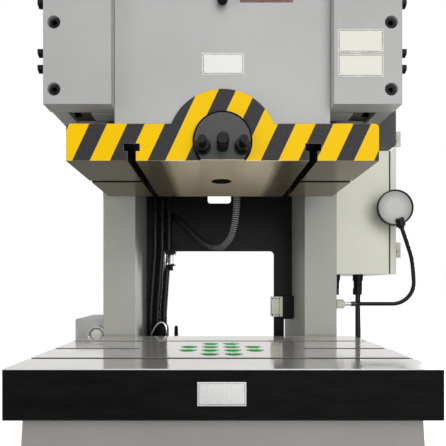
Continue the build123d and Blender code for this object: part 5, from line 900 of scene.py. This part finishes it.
def make_conduit():
    """The ridged conduit from the slide's back to the rear guard."""
    top = Vector(CONDUIT_TOP)
    route = [top + CONDUIT_RUN * level - Vector((0, 0, drop)) for level, drop in CONDUIT_ROUTE]
    line = spline_points(route)
    mesh = bmesh.new()
    before, side = None, Vector((1, 0, 0))
    for count, (place, direction) in enumerate(stations(line, RIDGE_PITCH / RIDGE_RINGS)):
        side = (side - direction * side.dot(direction)).normalized()
        wave = 0.5 - 0.5 * math.cos(2 * math.pi * count / RIDGE_RINGS)
        ring = tube_ring(mesh, place, direction, side, CONDUIT_RADIUS - RIDGE_DEPTH * (1 - wave))
        # crest faces take the lit colour and the rest the shaded one: painted light and shade on the ridges
        for face in join_rings(mesh, before, ring) if before else ():
            face.material_index = 0 if count % RIDGE_RINGS in RIDGE_CREST else 1
        before = ring
    conduit = finish_piece("conduit", mesh, (LIT_RIDGE, SHADED_VALLEY), None)
    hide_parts("slide_conduit")
    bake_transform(conduit)


# Floor, light and camera


def white_for_lookers(tree, strength):
    """The strength of a white surround: full where it is seen or mirrored, less as light."""
    path = tree.nodes.new("ShaderNodeLightPath")
    total = path.outputs["Is Camera Ray"]
    for name in ("Is Glossy Ray", "Is Transmission Ray"):
        node = tree.nodes.new("ShaderNodeMath")
        node.operation = "MAXIMUM"
        tree.links.new(total, node.inputs[0])
        tree.links.new(path.outputs[name], node.inputs[1])
        total = node.outputs[0]
    mix = tree.nodes.new("ShaderNodeMix")
    tree.links.new(total, mix.inputs[MIX_SHARE])
    mix.inputs[MIX_NUMBERS[0]].default_value = strength
    mix.inputs[MIX_NUMBERS[1]].default_value = 1.0
    return mix.outputs[MIX_NUMBER]


def make_world(strength):
    """An even white surround."""
    world = bpy.data.worlds.new("studio")
    bpy.context.scene.world = world
    world.use_nodes = True
    background = world.node_tree.nodes["Background"]
    background.inputs["Color"].default_value = (1, 1, 1, 1)
    white = white_for_lookers(world.node_tree, strength)
    world.node_tree.links.new(white, background.inputs["Strength"])


def make_floor(size, glow):
    """A pale floor that keeps a soft shadow."""
    mesh = bmesh.new()
    bmesh.ops.create_grid(mesh, x_segments=1, y_segments=1, size=size)
    data = bpy.data.meshes.new("floor")
    mesh.to_mesh(data)
    mesh.free()
    floor = bpy.data.objects.new("floor", data)
    bpy.context.scene.collection.objects.link(floor)
    graph = Graph("pale_floor", FLOOR_TONE, rough=0.9)
    graph.set("Emission Color", (1.0, 1.0, 1.0))
    path = graph.node("ShaderNodeLightPath")
    graph.set("Emission Strength", graph.both(path.outputs["Is Camera Ray"], glow))
    data.materials.append(graph.material)


def area_light(name, place, target, size, power):
    """A square soft light aimed at a point."""
    data = bpy.data.lights.new(name, "AREA")
    data.size = size
    data.energy = power
    light = bpy.data.objects.new(name, data)
    light.location = place
    aim = Vector(target) - Vector(place)
    light.rotation_euler = aim.to_track_quat("-Z", "Y").to_euler()
    bpy.context.scene.collection.objects.link(light)


def make_camera():
    """The photograph's level camera, straight in front of the press."""
    data = bpy.data.cameras.new("camera")
    data.sensor_width = SENSOR_WIDTH
    data.lens = SENSOR_WIDTH * FOCAL_PIXELS / PHOTO_PIXELS
    data.shift_x = 0.5 - VANISHING_PIXEL[0] / PHOTO_PIXELS
    data.shift_y = VANISHING_PIXEL[1] / PHOTO_PIXELS - 0.5
    camera = bpy.data.objects.new("camera", data)
    camera.location = CAMERA_PLACE
    camera.rotation_euler = (math.radians(90), 0, 0)
    bpy.context.scene.collection.objects.link(camera)
    bpy.context.scene.camera = camera


dress_solids()
make_plates()
make_cover_screws()
make_pilot_pipe()
make_conduit()
make_world(WORLD_STRENGTH)
make_floor(FLOOR_SIZE, FLOOR_GLOW)
for light in LIGHTS:
    area_light(*light)
make_camera()
bpy.context.scene.view_settings.view_transform = "Standard"
